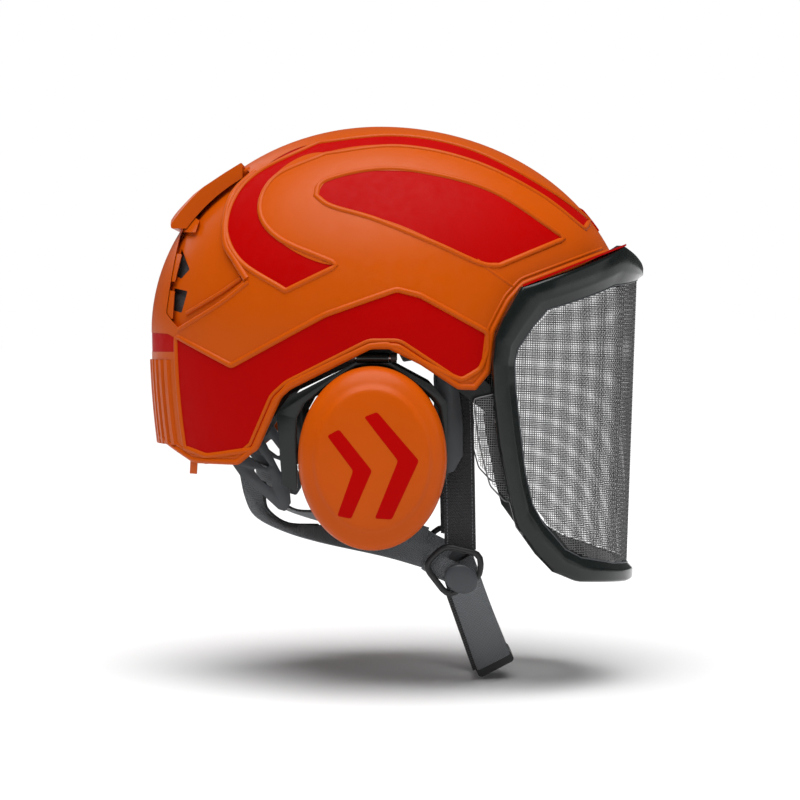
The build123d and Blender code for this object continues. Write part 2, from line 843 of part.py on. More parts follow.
def ear_yoke():
    """Sprung fork that carries the cup and swings out from the hinge under the ear arch."""
    face = polygon(
        (
            (-17, -7),
            (-59, -29),
            (-67, -39),
            (-63.5, -84),
            (-54, -88),
            (-54.5, -42),
            (-49, -32),
            (-16, -15),
            (2, -15),
            (27, -27.5),
            (34, -36),
            (34, -80),
            (39.5, -80),
            (39.5, -32),
            (30, -21.5),
            (3, -7),
        ),
        1.5,
    )
    yoke = slab(face, YOKE_INNER, YOKE_INNER + YOKE_WALL)
    hinge_y, hinge_z = HINGE_PLACE
    barrel = (EAR_X - BARREL_LENGTH / 2, EAR_X + BARREL_LENGTH / 2)
    yoke = yoke + rod_x(HINGE_PLACE, *barrel, HINGE_RADIUS)
    yoke = yoke + block((barrel[0] + 1, barrel[1] - 1), (YOKE_INNER, hinge_y), (hinge_z - 3, hinge_z + 2.5))
    yoke = yoke - rod_x(HINGE_PLACE, -REACH, REACH, HINGE_BORE + RUNNING_FIT)
    return yoke - rod_x((YOKE_INNER + YOKE_WALL / 2, CUP_PIVOT_Z), -REACH, REACH, CUP_PIN_RADIUS - 0.8)


def ear_hinge_pin():
    """Pin through the bracket's lugs and the yoke's barrel."""
    span = BARREL_LENGTH / 2 + LUG_GAP + LUG_WIDTH
    return rod_x(HINGE_PLACE, EAR_X - span, EAR_X + span, HINGE_BORE)


def cup_pivot_pins():
    """Stub pins between the yoke's legs and the cup base."""
    place = (YOKE_INNER + YOKE_WALL / 2, CUP_PIVOT_Z)
    base_rear = EAR_X - BASE_HALF_LENGTH
    base_front = EAR_X + BASE_HALF_LENGTH
    pins = []
    for leg_far, leg_near, tip in ((-62.0, -53.7, base_rear + 5), (38.5, 33.7, base_front - 5)):
        far, near = sorted((leg_far, leg_near))
        stud = rod_x(place, far, near, CUP_PIN_RADIUS - 0.8)
        start, end = sorted((leg_near, tip))
        pins.append(stud + rod_x(place, start, end, CUP_PIN_RADIUS))
    return joined(pins)


# ---------------------------------------------------------------- harness


def strap_guide():
    """Stiff grey guide that keeps the front strap upright."""
    face = polygon(
        (
            (36, 39),
            (51, 39),
            (48, 0),
            (46.5, -20),
            (49.5, -45),
            (49.5, -66),
            (44, -76),
            (38, -78),
            (35.5, -60),
            (33.5, -20),
            (35, 0),
        ),
        2.0,
    )
    guide = slab(face, GUIDE_INNER, GUIDE_INNER + GUIDE_WALL)
    return guide - rod_y(POST_PLACE, 0, REACH, POST_RADIUS)


def front_strap():
    """Front strap from the post inside the shell down to the slider."""
    strap = ribbon(
        (
            ((35, 81.2, 38), (55, 81.2, 38)),
            ((35.5, 81.2, -10), (55.5, 81.2, -10)),
            ((37, 76.5, -60), (57, 76.5, -60)),
            ((38.5, 66.5, -128), (58.5, 66.5, -127)),
        )
    )
    return strap - rod_y(POST_PLACE, 0, REACH, POST_RADIUS)


def rear_strap():
    """Rear strap from the neck bracket, round below the ear, to the slider."""
    return ribbon(
        (
            ((-92, 71, -78), (-76, 68.6, -84)),
            ((-88.5, 72, -93), (-76.5, 62, -95)),
            ((-82, 73, -105), (-74, 59, -103)),
            ((-65, 75, -114), (-62, 58, -111)),
            ((-41, 75, -121.5), (-42, 60, -112)),
            ((0, 72, -131), (2, 63, -115)),
            ((26, 67.5, -140), (31, 66.5, -121)),
        )
    )


def chin_strap():
    """Lower strap from the slider to the chin buckle."""
    return ribbon(
        (
            ((41.5, 66.5, -153), (61, 66.5, -143)),
            ((52, 44, -184), (72, 44, -174)),
            ((61, BUCKLE_LENGTH / 2 + LUG_REACH, -211), (82.5, BUCKLE_LENGTH / 2 + LUG_REACH, -200)),
        )
    )


def neck_screw_place():
    """Place of the screw that holds the neck bracket to the shell."""
    return (-91.0, -50.0)


def neck_bracket_inner():
    """Distance from the middle to the inner face of the neck bracket, outside the strap."""
    return NECK_INNER + STRAP_WALL + STRAP_WALL


def neck_bracket():
    """Stiff grey bracket at the side of the neck, with two cut-outs."""
    face = polygon(
        (
            (-96, -44),
            (-84, -44),
            (-76, -56.8),
            (-67.4, -73.9),
            (-60, -87.2),
            (-59.2, -96.7),
            (-62.5, -102),
            (-67, -100.6),
            (-78, -90.4),
            (-91, -79.5),
            (-97, -71),
        ),
        2.0,
    )
    cuts = (
        ((-87, -66), (-80, -62.5), (-72, -73), (-75.5, -74.5)),
        ((-84, -74), (-72.5, -78), (-70, -88), (-78, -82.5)),
    )
    inner = neck_bracket_inner()
    bracket = slab(face, inner, inner + NECK_WALL)
    for cut in cuts:
        bracket = bracket - slab(polygon(cut, 1.0), 0, REACH)
    seat = dome(SHELL_WALL + SEAT_GAP)
    bracket = bracket + (rod_y(neck_screw_place(), inner, REACH, 6) & seat)
    return bracket - rod_y(neck_screw_place(), 0, REACH, SCREW_RADIUS)


def strap_slider():
    """Rounded three-cornered loop that joins the two straps to the chin strap."""
    corners = ((24.5, -137), (38, -122.5), (63, -127), (62, -142), (43.5, -155))
    plate = slab(polygon(corners, 3.5), SLIDER_INNER, SLIDER_INNER + SLIDER_WALL)
    windows = (
        ((31, -137), (38.5, -128), (45, -129.5), (41, -142)),
        ((50, -130.5), (58, -131.5), (57.5, -138), (52, -136)),
    )
    for window in windows:
        plate = plate - slab(polygon(window, 1.2), 0, REACH)
    return plate


def slider_cap():
    """Round cover on the slider."""
    outer = SLIDER_INNER + SLIDER_WALL
    cap = rod_y(CAP_PLACE, outer, outer + CAP_HEIGHT, CAP_RADIUS)
    return fillet(cap.edges().group_by(Axis.Y)[-1], 1.5)


def at_buckle(solid):
    """Move a piece drawn at the origin into the buckle's place."""
    return Pos(BUCKLE_CENTRE[0], 0, BUCKLE_CENTRE[1]) * Rot(0, BUCKLE_TURN, 0) * solid


def button_room(grow):
    """Room of the release button in the buckle's outer face, in the buckle's own place."""
    half = 6.0 + grow
    return block((-half, half), (4 - grow, 15 + grow), (-BUCKLE_HEIGHT / 2 - 2, -BUCKLE_HEIGHT / 2 + 1.8))


def buckle_housing():
    """Socket half of the chin buckle, on the left strap."""
    half = BUCKLE_WIDTH / 2
    body = block((-half, half), (-3, BUCKLE_LENGTH - 3), (-BUCKLE_HEIGHT / 2, BUCKLE_HEIGHT / 2))
    body = fillet(body.edges().filter_by(Axis.Y), 2.5)
    room = block(
        (-half + BUCKLE_WALL, half - BUCKLE_WALL),
        (-4, BUCKLE_LENGTH - 3 - BUCKLE_WALL),
        (-BUCKLE_HEIGHT / 2 + BUCKLE_WALL, BUCKLE_HEIGHT / 2 - BUCKLE_WALL),
    )
    return at_buckle(body - room - button_room(RUNNING_FIT))


def buckle_tongue():
    """Plug half of the chin buckle, on the right strap, with two prongs."""
    half = BUCKLE_WIDTH / 2
    grip = block((-half, half), (-BUCKLE_LENGTH + 3, -3.4), (-BUCKLE_HEIGHT / 2, BUCKLE_HEIGHT / 2))
    grip = fillet(grip.edges().filter_by(Axis.Y), 2.5)
    reach = half - BUCKLE_WALL - 0.4
    for way in (1, -1):
        side = sorted((way * reach, way * (reach - PRONG_WIDTH)))
        grip = grip + block(side, (-4, BUCKLE_LENGTH - 7), (-1.2, 1.8))
    return at_buckle(grip)


def buckle_release():
    """Button in the buckle's outer face."""
    cap = block((-6, 6), (4, 15), (-BUCKLE_HEIGHT / 2 - 1.2, -BUCKLE_HEIGHT / 2 + BUCKLE_WALL - 1.0))
    return at_buckle(fillet(cap.edges().filter_by(Axis.Z), 1.5))


# ---------------------------------------------------------------- parts


def shell_parts():
    """Shell, its inlays, vents and liner."""
    cutters = inlay_cutters()
    parts = {"outer_shell": outer_shell(cutters)}
    for name, cutter in cutters.items():
        piece = inlay(cutter)
        parts[name + "_left"] = piece
        parts[name + "_right"] = mirrored(piece)
    parts["rear_insert"] = rear_insert()
    parts["rear_lip"] = rear_lip()
    parts["brow_bump"] = brow_bump()
    parts["impact_liner"] = impact_liner()
    return parts


def paired_parts():
    """Pieces that come as a left and a right one, by name."""
    return {
        "vent_grille": vent_grille(),
        "side_bracket": side_bracket(),
        "neck_bracket": neck_bracket(),
        "strap_guide": strap_guide(),
        "front_strap": front_strap(),
        "rear_strap": rear_strap(),
        "strap_slider": strap_slider(),
        "chin_strap": chin_strap(),
        "ear_yoke": ear_yoke(),
        "cup_pivot_pins": cup_pivot_pins(),
        "cup_base": cup_base(),
        "cup_cover": cup_cover(),
        "cup_chevrons": cup_chevrons(),
        "cup_foam": cup_foam(),
        "ear_cushion": ear_cushion(),
    }


def single_parts():
    """Pieces on the middle plane, and groups of identical fasteners."""
    upper_rack = rack()
    return {
        "headband": headband(),
        "brow_pad": brow_pad(),
        "cradle_straps": cradle_straps(),
        "ratchet_housing": ratchet_housing(),
        "adjuster_knob": adjuster_knob(),
        "adjuster_pinion": adjuster_pinion(),
        "band_rack_left": upper_rack,
        "band_rack_right": Pos(0, 0, ADJUSTER_Z) * Rot(180, 0, 0) * Pos(0, 0, -ADJUSTER_Z) * upper_rack,
        "bracket_screws": bracket_screws(),
        "visor_frame": visor_frame(),
        "visor_seal": visor_seal(),
        "visor_mesh": visor_mesh(),
        "visor_arms": left_and_right(visor_arm()),
        "visor_pivot_pins": left_and_right(visor_pivot_pin()),
        "ear_hinge_pins": left_and_right(ear_hinge_pin()),
        "slider_caps": left_and_right(slider_cap()),
        "buckle_housing": buckle_housing(),
        "buckle_tongue": buckle_tongue(),
        "buckle_release": buckle_release(),
    }


def main():
    """Build every piece and write it."""
    parts = shell_parts()
    for name, piece in paired_parts().items():
        parts[name + "_left"] = piece
        parts[name + "_right"] = mirrored(piece)
    parts.update(single_parts())
    os.makedirs("parts", exist_ok=True)
    for name, piece in parts.items():
        export_step(piece, f"parts/{name}.step")


if __name__ == "__main__":
    main()
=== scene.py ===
from math import atan2, cos, pi, radians, sin, sqrt

import bmesh
import bpy
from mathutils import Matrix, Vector


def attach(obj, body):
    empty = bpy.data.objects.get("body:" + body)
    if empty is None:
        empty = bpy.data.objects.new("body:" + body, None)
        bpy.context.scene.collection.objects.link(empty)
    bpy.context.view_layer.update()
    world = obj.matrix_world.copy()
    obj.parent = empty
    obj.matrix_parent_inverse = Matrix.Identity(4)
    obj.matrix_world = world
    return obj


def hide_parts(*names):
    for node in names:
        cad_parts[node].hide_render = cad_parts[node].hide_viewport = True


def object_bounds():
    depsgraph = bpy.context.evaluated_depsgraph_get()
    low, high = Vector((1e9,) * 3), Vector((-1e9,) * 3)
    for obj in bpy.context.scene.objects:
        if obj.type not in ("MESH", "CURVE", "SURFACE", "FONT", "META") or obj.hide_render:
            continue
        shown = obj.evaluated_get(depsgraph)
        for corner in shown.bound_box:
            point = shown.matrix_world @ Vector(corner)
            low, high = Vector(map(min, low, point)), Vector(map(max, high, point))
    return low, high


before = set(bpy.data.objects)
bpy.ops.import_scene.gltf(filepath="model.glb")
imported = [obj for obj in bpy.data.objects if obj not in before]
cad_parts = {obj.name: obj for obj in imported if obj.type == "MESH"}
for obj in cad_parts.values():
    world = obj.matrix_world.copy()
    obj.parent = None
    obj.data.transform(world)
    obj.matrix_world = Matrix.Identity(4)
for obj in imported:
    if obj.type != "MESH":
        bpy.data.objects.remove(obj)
cad_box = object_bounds()

bl_info = {
    "name": "Forestry helmet",
    "version": (1, 0, 0),
    "blender": (4, 5, 0),
    "location": "3D View > Sidebar > Helmet",
    "description": "Builds a forestry helmet with ear muffs, a mesh visor and a chin harness",
    "category": "Object",
}

MM = 0.001
FINISH = "finish_"

# Stage, in metres and watts: each lamp has a name, a place, a size and a power
FLOOR_GAP = 0.002
FLOOR_REACH = 60.0
FLOOR_COLOUR = (0.8, 0.8, 0.8)
SKY_LIGHT = 0.1
LAMPS = (
    ("key", (-0.1, -1.2, 1.9), 1.3, 5.0),
    ("front", (1.9, -0.6, 0.4), 1.4, 4.0),
    ("back", (-1.2, 1.5, 1.2), 1.2, 6.0),
)
LAMP_AIM = Vector((0.01, 0.0, 0.0))
SUN_POWER = 4.2
SUN_SPREAD = radians(60)
SUN_WAY = Vector((0.02, 0.3, -1.0))
LENS = 101.25
CAMERA_AIM = Vector((0.010, 0.0, -0.0333))
CAMERA_RISE = radians(1.5)
CAMERA_FAR = 1.5

STEEL_COLOUR = (0.55, 0.55, 0.56)
# Plastics: finish, colour setting, roughness, coat, grain size and relief in metres, shine
PLASTICS = (
    ("shell_orange", "shell", 0.34, 0.0, 0.0014, 0.000012, 0.12),
    ("inlay_red", "inlay", 0.45, 0.0, 0.0012, 0.000014, 0.04),
    ("black_gloss", "gloss_black", 0.17, 0.0, 0.0025, 0.000003, 0.35),
    ("black_plastic", "satin_black", 0.42, 0.1, 0.0007, 0.00003, 0.3),
    ("grey_plastic", "grey", 0.4, 0.1, 0.0007, 0.00003, 0.3),
)

# Shell surface, in millimetres, the same as in the part
FRONT_REACH = 165.5
REAR_REACH = 152.0
HALF_WIDTH = 112.0
CROWN_RISE = 135.0
SKIRT_DROP = 300.0
DOME_X = -3.0
DOME_Z = 13.0
INSERT_EDGE = 58.0

# Visor surface, in millimetres, the same as in the part
VISOR_X = 55.0
VISOR_REACH = 114.5
VISOR_HALF_WIDTH = 111.0
VISOR_LEAN = radians(1.9)
WIRE_INSET = 4.4
WING_INSET = 7.6
WING_REACH = (80.0, 92.0)

# Ear cup, in millimetres, the same as in the part
EAR_X = -7.0
EAR_Z = -66.5
COVER_HALF_LENGTH = 46.0
COVER_HALF_HEIGHT = 57.0

CROWN_PANEL = (
    ((-41.5, 98), (-37, 106.5), (-9, 113.6), (21, 112.8), (67.9, 100.5), (113.2, 72)),
    ((113.2, 72), (71.7, 54.4)),
    ((71.7, 54.4), (59.8, 55.8), (32.4, 67.9), (-4.5, 83), (-32, 91.5), (-41.5, 98)),
)
SWOOSH = (
    ((-31, 53), (-61, 38.7)),
    ((-61, 38.7), (-90.6, 58.2), (-99.7, 82.4), (-86, 110.7), (-43.3, 133.9)),
    ((-43.3, 133.9), (9.4, 138.6), (57.2, 129.2), (105.4, 104.4), (134, 86)),
    ((134, 86), (129, 80)),
    ((129, 80), (99.9, 101.4), (56.8, 122.2), (9.4, 131.7), (-38, 126.7)),
    ((-38, 126.7), (-71.2, 111), (-80.1, 88.9), (-67, 69.5), (-31, 53)),
)
LOWER_BAND = (
    (-139.7, 10.7), (-96, -11), (-36, 21), (8, 36.5), (22, 33), (63.3, 10.5), (63.4, 0), (59, -10.5),
    (48.3, -16.8), (40, -13.5), (2, 5.5), (-9, 4.5), (-59.5, -19.4), (-67, -28), (-82, -60.5),
    (-113, -65.7), (-129.7, -60.6), (-138.5, -56.0),
)
RIM = (
    (-170, -51.4), (-146, -59), (-122, -72), (-92, -72), (-80, -62), (-66, -31), (-58, -24), (-8, 1),
    (8, 1), (46, -24), (57, -24.5), (66, -14), (69, 11), (79, 30), (88, 40), (180, 75.3),
)
CREASE = ((58, 56.5), (70, 47.5), (83, 38.5))
PATH_STEP = 2.0
BEAD_SHIFT = 1.5
RIM_SHIFT = -1.9
RIM_LINE_SHIFT = -3.6
RIM_LINE_RISE = -1.0
CREASE_RADIUS = 1.4
CREASE_RISE = 0.45
VENT_RIDGE = ((-84, 116), (-97, 102), (-101.5, 84), (-100.5, 68), (-94, 57), (-85, 43))
VENT_SILL = ((-85, 43), (-104, 29), (-134, 12))
VENT_VALLEY = ((-91, 46), (-106, 36), (-130, 23))
VENT_FIN = ((-88, 119), (-112, 104), (-132, 88))
# Bars of the vents: piece, path, radius and how far it stands above the shell
VENT_BARS = (
    ("vent_ridges", VENT_RIDGE, 2.6, 1.6),
    ("vent_sills", VENT_SILL, 1.8, 0.9),
    ("vent_valleys", VENT_VALLEY, 1.6, -1.5),
    ("vent_fins", VENT_FIN, 2.4, 1.2),
)

# Visor frame: pairs of points on its outer and inner outlines, from the brow round to the chin
VISOR_STATIONS = (
    ((155, 67), (150, 41.4)),
    ((86, 39.5), (103.5, 25.5)),
    ((74, 20), (94, 15)),
    ((69, 8.5), (84, 1)),
    ((67.4, -7), (82, -7)),
    ((68.2, -26), (82.5, -22)),
    ((72, -59), (85.5, -48)),
    ((79.5, -94), (89, -76)),
    ((84, -110), (94, -96)),
    ((97, -127), (101, -108)),
    ((109, -139), (116, -125)),
    ((125, -146), (127, -131)),
    ((158, -150.5), (150, -137)),
)
VISOR_FRONT_TOP = (52.0, 47.6)
VISOR_FRONT_BOTTOM = (-151.4, -141.4)
# Section of the visor frame: share of the way from outer to inner outline, and inset from the face
FRAME_SECTION = (
    (0.0, 7.1), (0.0, 2.2), (0.03, 1.1), (0.09, 0.3), (0.16, 0.0), (0.60, 0.0), (0.66, 0.3),
    (0.70, 0.9), (0.95, 3.3), (1.0, 3.9), (1.0, 7.1),
)
MESH_OUTLINE = (
    (103.5, 25.5), (190, 55), (190, -146), (150, -137), (127, -131), (116, -125), (101, -108), (91, -94),
    (77, -94), (67, -84), (62, -67), (58.5, -52), (56, -30), (70, -27), (72, -12), (78, 3), (94, 15),
)
WING_EDGE = (
    (80.5, -94), (77, -94), (67, -84), (62, -67), (58.5, -52), (56, -30), (70, -27), (72, -12), (78, 3),
)
EDGE_WIRE_RADIUS = 0.5 * MM
GASKET_INSET = 3.9
GASKET_RADIUS = 0.55 * MM
WEAVE_RISE = 0.2
WIRE_BOTTOM = -150.0
WIRE_RISE = 210.0
LINK_ROOM = ((69, -46), (84, -46), (84, -32), (69, -32))

# Cup cover: share of the way from middle to edge, and distance from the helmet's middle plane
COVER_SECTION = (
    (1.0, 104.6), (1.0, 111.0), (0.992, 115.0), (0.965, 118.6), (0.92, 121.4), (0.86, 123.4),
    (0.81, 124.6), (0.785, 125.6), (0.76, 126.7), (0.72, 127.4), (0.55, 128.5), (0.3, 129.2), (0.02, 129.4),
)
REAR_CHEVRON = (
    (-34.5, -51.8), (-27.1, -47.9), (-7.1, -73.1), (-19.8, -102.5), (-28.4, -101), (-18.6, -73.1),
)
CHEVRON_EDGE = 0.45
CHEVRON_SINK = 0.3
CHEVRON_RISE = 0.16
FRONT_CHEVRON = ((-11.9, -40.3), (-4, -37.2), (21.6, -67), (5, -103), (-5.4, -102.4), (8.8, -67))

# Pads round the ears: node, piece, voxel in metres, finish and fill
EAR_PADS = (
    ("ear_cushion", "ear_seal", 0.004, "pad_fabric", 0.8),
    ("cup_foam", "cup_damper", 0.003, "liner_foam", 0.9),
)
EAR_PAD_SHRINK = 0.8 * MM
EAR_PAD_SWELL = 1.2 * MM
BROW_VOXEL = 2.2 * MM
BROW_SHRINK = 0.5 * MM
BROW_SWELL = 0.6 * MM
CLOTH_PRESSURE = 4.0
CLOTH_STEPS = 20
# Seam of an ear seal: half length, half height, distance from the middle plane
SEAM_OVAL = (40.3, 50.3, 88.0)
SEAM_RADIUS = 0.8 * MM

# Straps: pairs of edge points along each one, on the wearer's left
FRONT_STRAP = (
    ((35, 81.2, 38), (55, 81.2, 38)),
    ((35.5, 81.2, -10), (55.5, 81.2, -10)),
    ((37, 76.5, -60), (57, 76.5, -60)),
    ((38.5, 66.5, -128), (58.5, 66.5, -127)),
)
REAR_STRAP = (
    ((-92, 71, -78), (-76, 68.6, -84)),
    ((-88.5, 72, -93), (-76.5, 62, -95)),
    ((-82, 73, -105), (-74, 59, -103)),
    ((-65, 75, -114), (-62, 58, -111)),
    ((-41, 75, -121.5), (-42, 60, -112)),
    ((0, 72, -131), (2, 63, -115)),
    ((26, 67.5, -139), (30.5, 66.5, -124)),
)
CHIN_STRAP = (
    ((41.5, 66.5, -153), (61, 66.5, -143)),
    ((52, 44, -184), (72, 44, -174)),
    ((61, 20.3, -211), (82.5, 20.3, -200)),
)
LOOP_STRAP = (
    ((23.5, 69.0, -139), (30, 69.0, -126)),
    ((29, 71.0, -142.5), (35.5, 71.0, -129.5)),
    ((35.5, 72.4, -145.5), (42.5, 72.4, -133)),
    ((42, 73.0, -148), (49.5, 73.0, -136.5)),
)
# Chin tail and rear lining: shares of the strap's width that they cover
CHIN_TAIL_SHARES = (0.05, 0.75)
CHIN_TAIL_MOVE = (Vector((-4.0, -2.4, -1.0)), Vector((-5.0, -2.4, -1.0)))
LINING_SHARES = (0.86, 1.06)
LINING_STATIONS = 5
STITCH_SHARES = (0.1, 0.9)
STRAP_STEP = 3.0
THREAD_RADIUS = 0.28 * MM
SLIDER_LOOP = ((25.2, -136.2), (38.6, -123.5), (61.4, -129.2), (60.8, -143.8), (40.5, -155.9))
SLIDER_MIDDLE = 75.6
CAP_BASE = 76.0
CAP_PLACE = (48.8, -144.5)
CAP_HALF_SIZE = (11.0, 9.2)
CAP_TILT = radians(-24)
# Cap: share of the way from middle to edge, and height above its base
CAP_SECTION = ((1.0, 0.0), (1.0, 2.2), (0.97, 3.1), (0.9, 3.7), (0.7, 4.1), (0.35, 4.2), (0.02, 4.2))

PAIR = (("left", 1), ("right", -1))


# ---------------------------------------------------------------- settings


def colour_setting(name, description, value):
    """Colour setting with its default."""
    return bpy.props.FloatVectorProperty(
        name=name, description=description, subtype="COLOR", size=3, min=0.0, max=1.0, default=value
    )


def length_setting(name, description, value):
    """Length setting in metres with its default."""
    return bpy.props.FloatProperty(
        name=name, description=description, unit="LENGTH", min=0.0, default=value
    )


class HelmetColours(bpy.types.PropertyGroup):
    """Colours of the helmet's finishes."""

    shell: colour_setting("Shell", "Colour of the hard shell and the cup covers", (0.48, 0.070, 0.0004))
    inlay: colour_setting("Inlays", "Colour of the inlays and the chevrons", (0.38, 0.0003, 0.0002))
    gloss_black: colour_setting("Gloss black", "Visor frame, forks and arms", (0.006, 0.0085, 0.008))
    satin_black: colour_setting("Satin black", "Headband, cup bases and slider", (0.018, 0.018, 0.019))
    grey: colour_setting("Grey", "Guides, brackets and caps", (0.052, 0.056, 0.062))
    wire: colour_setting("Wire", "Visor mesh", (0.11, 0.11, 0.112))
    strap_grey: colour_setting("Grey webbing", "Rear and chin straps", (0.13, 0.14, 0.15))
    strap_black: colour_setting("Black webbing", "Front straps and cradle", (0.016, 0.016, 0.018))
    foam: colour_setting("Liner", "Foam liner", (0.035, 0.035, 0.037))


class HelmetSizes(bpy.types.PropertyGroup):
    """Sizes of the details added to the frame."""

    bead_radius: length_setting("Bead radius", "Radius of the beads round the inlays", 2.05 * MM)
    bead_rise: length_setting("Bead rise", "How far the beads stand above the shell", 1.1 * MM)
    wire_pitch: length_setting("Wire pitch", "Distance between the visor's wires", 1.5 * MM)
    wire_radius: length_setting("Wire radius", "Radius of the visor's wires", 0.24 * MM)
    strap_wall: length_setting("Strap thickness", "Thickness of the webbing", 1.6 * MM)
    edge_radius: length_setting("Edge radius", "Rounding of the moulded fittings' edges", 0.7 * MM)
    loop_radius: length_setting("Loop radius", "Radius of the slider's bar", 2.0 * MM)
    stitch_pitch: length_setting("Stitch pitch", "Distance between stitches", 2.2 * MM)


def colours():
    """The scene's colour settings."""
    return bpy.context.scene.helmet_colours


def sizes():
    """The scene's size settings."""
    return bpy.context.scene.helmet_sizes


# ---------------------------------------------------------------- materials


class Shader:
    """A node material in the making."""

    def __init__(self, name, colour, roughness, metallic=0.0, coat=0.0, sheen=0.0, shine=0.5):
        self.material = bpy.data.materials.new(FINISH + name)
        self.material.use_nodes = True
        self.tree = self.material.node_tree
        self.surface = self.tree.nodes["Principled BSDF"]
        self.colour = (*colour, 1.0)
        self.surface.inputs["Base Color"].default_value = self.colour
        self.surface.inputs["Roughness"].default_value = roughness
        self.surface.inputs["Metallic"].default_value = metallic
        self.surface.inputs["Coat Weight"].default_value = coat
        self.surface.inputs["Coat Roughness"].default_value = 0.12
        self.surface.inputs["Specular IOR Level"].default_value = shine
        self.surface.inputs["Sheen Weight"].default_value = sheen
        self.coordinates = self.node("ShaderNodeTexCoord")
        self.height = None

    def node(self, kind, **settings):
        """New node with its settings."""
        made = self.tree.nodes.new(kind)
        for key, value in settings.items():
            setattr(made, key, value)
        return made

    def link(self, start, end):
        """Join an output to an input."""
        self.tree.links.new(start, end)

    def noise(self, size, detail=3.0, stretch=(1, 1, 1)):
        """Noise on the object's own coordinates, with features of a size in metres."""
        mapping = self.node("ShaderNodeMapping")
        mapping.inputs["Scale"].default_value = stretch
        self.link(self.coordinates.outputs["Object"], mapping.inputs["Vector"])
        texture = self.node("ShaderNodeTexNoise")
        texture.inputs["Scale"].default_value = 1.0 / size
        texture.inputs["Detail"].default_value = detail
        self.link(mapping.outputs["Vector"], texture.inputs["Vector"])
        return texture.outputs["Fac"]

    def spread(self, value, low, high):
        """Map a texture's middle range onto two values."""
        ramp = self.node("ShaderNodeMapRange")
        ramp.inputs["From Min"].default_value = 0.3
        ramp.inputs["From Max"].default_value = 0.7
        ramp.inputs["To Min"].default_value = low
        ramp.inputs["To Max"].default_value = high
        self.link(value, ramp.inputs["Value"])
        return ramp.outputs["Result"]

    def vary_roughness(self, value, low, high):
        """Let a texture drive the roughness."""
        self.link(self.spread(value, low, high), self.surface.inputs["Roughness"])

    def tint(self, value, low, high):
        """Let a texture darken and lighten the colour."""
        mix = self.node("ShaderNodeMix", data_type="RGBA")
        mix.inputs["A"].default_value = tuple(c * low for c in self.colour[:3]) + (1.0,)
        mix.inputs["B"].default_value = tuple(min(1.0, c * high) for c in self.colour[:3]) + (1.0,)
        self.link(value, mix.inputs["Factor"])
        self.link(mix.outputs["Result"], self.surface.inputs["Base Color"])

    def bump(self, value, depth):
        """Add a relief of a depth in metres on top of the earlier ones."""
        relief = self.node("ShaderNodeBump")
        relief.inputs["Strength"].default_value = 1.0
        relief.inputs["Distance"].default_value = depth
        self.link(value, relief.inputs["Height"])
        if self.height is not None:
            self.link(self.height, relief.inputs["Normal"])
        self.height = relief.outputs["Normal"]
        self.link(self.height, self.surface.inputs["Normal"])

    def weave(self, across, along):
        """Product of two waves on the strap's own UV map, in metres."""
        split = self.node("ShaderNodeSeparateXYZ")
        self.link(self.coordinates.outputs["UV"], split.inputs["Vector"])
        waves = []
        for output, pitch in (("X", across), ("Y", along)):
            scaled = self.node("ShaderNodeMath", operation="MULTIPLY")
            scaled.inputs[1].default_value = 2 * pi / pitch
            self.link(split.outputs[output], scaled.inputs[0])
            wave = self.node("ShaderNodeMath", operation="SINE")
            self.link(scaled.outputs[0], wave.inputs[0])
            waves.append(wave.outputs[0])
        product = self.node("ShaderNodeMath", operation="MULTIPLY_ADD")
        self.link(waves[0], product.inputs[0])
        self.link(waves[1], product.inputs[1])
        product.inputs[2].default_value = 0.5
        return product.outputs[0], waves[1]


def moulded(name, colour, roughness, coat, grain, depth, shine):
    """Moulded plastic: faint orange peel, cloudy tone, and roughness that varies; lengths in metres."""
    made = Shader(name, colour, roughness, coat=coat, shine=shine)
    cloud = made.noise(0.045, detail=4.0)
    made.tint(cloud, 0.93, 1.06)
    made.vary_roughness(made.noise(0.006, detail=6.0), roughness * 0.82, roughness * 1.22)
    made.bump(made.noise(grain, detail=2.0), depth)
    made.bump(made.noise(0.0022, detail=5.0, stretch=(1, 1, 9)), depth * 0.35)
    return made.material


def metal(name, colour, roughness):
    """Drawn or rolled metal with fine streaks."""
    made = Shader(name, colour, roughness, metallic=1.0)
    made.tint(made.noise(0.004, detail=4.0), 0.85, 1.12)
    made.vary_roughness(made.noise(0.001, detail=4.0, stretch=(1, 6, 1)), roughness * 0.8, roughness * 1.25)
    made.bump(made.noise(0.0008, stretch=(1, 8, 1)), 0.00002)
    return made.material


def wire_finish(name, colour):
    """Painted grey wire."""
    made = Shader(name, colour, 0.5, metallic=0.1)
    made.tint(made.noise(0.02, detail=3.0), 0.9, 1.15)
    made.bump(made.noise(0.0006), 0.00002)
    return made.material


def webbing(name, colour, rib_pitch):
    """Woven strap: ribs across it, warp threads along it, fuzz and a soft sheen."""
    made = Shader(name, colour, 0.82, sheen=0.25)
    cells, ribs = made.weave(0.0011, rib_pitch)
    made.tint(cells, 0.62, 1.5)
    made.bump(cells, 0.00022)
    made.bump(ribs, 0.00008)
    made.bump(made.noise(0.0004, detail=2.0), 0.00004)
    return made.material


def plain_cloth(name, colour):
    """Textile without a UV map: crossed fine threads."""
    made = Shader(name, colour, 0.85, sheen=0.3)
    thread = made.noise(0.0009, detail=2.0, stretch=(1, 1, 5))
    made.tint(thread, 0.75, 1.3)
    made.bump(thread, 0.00018)
    made.bump(made.noise(0.0009, detail=2.0, stretch=(5, 5, 1)), 0.00012)
    return made.material


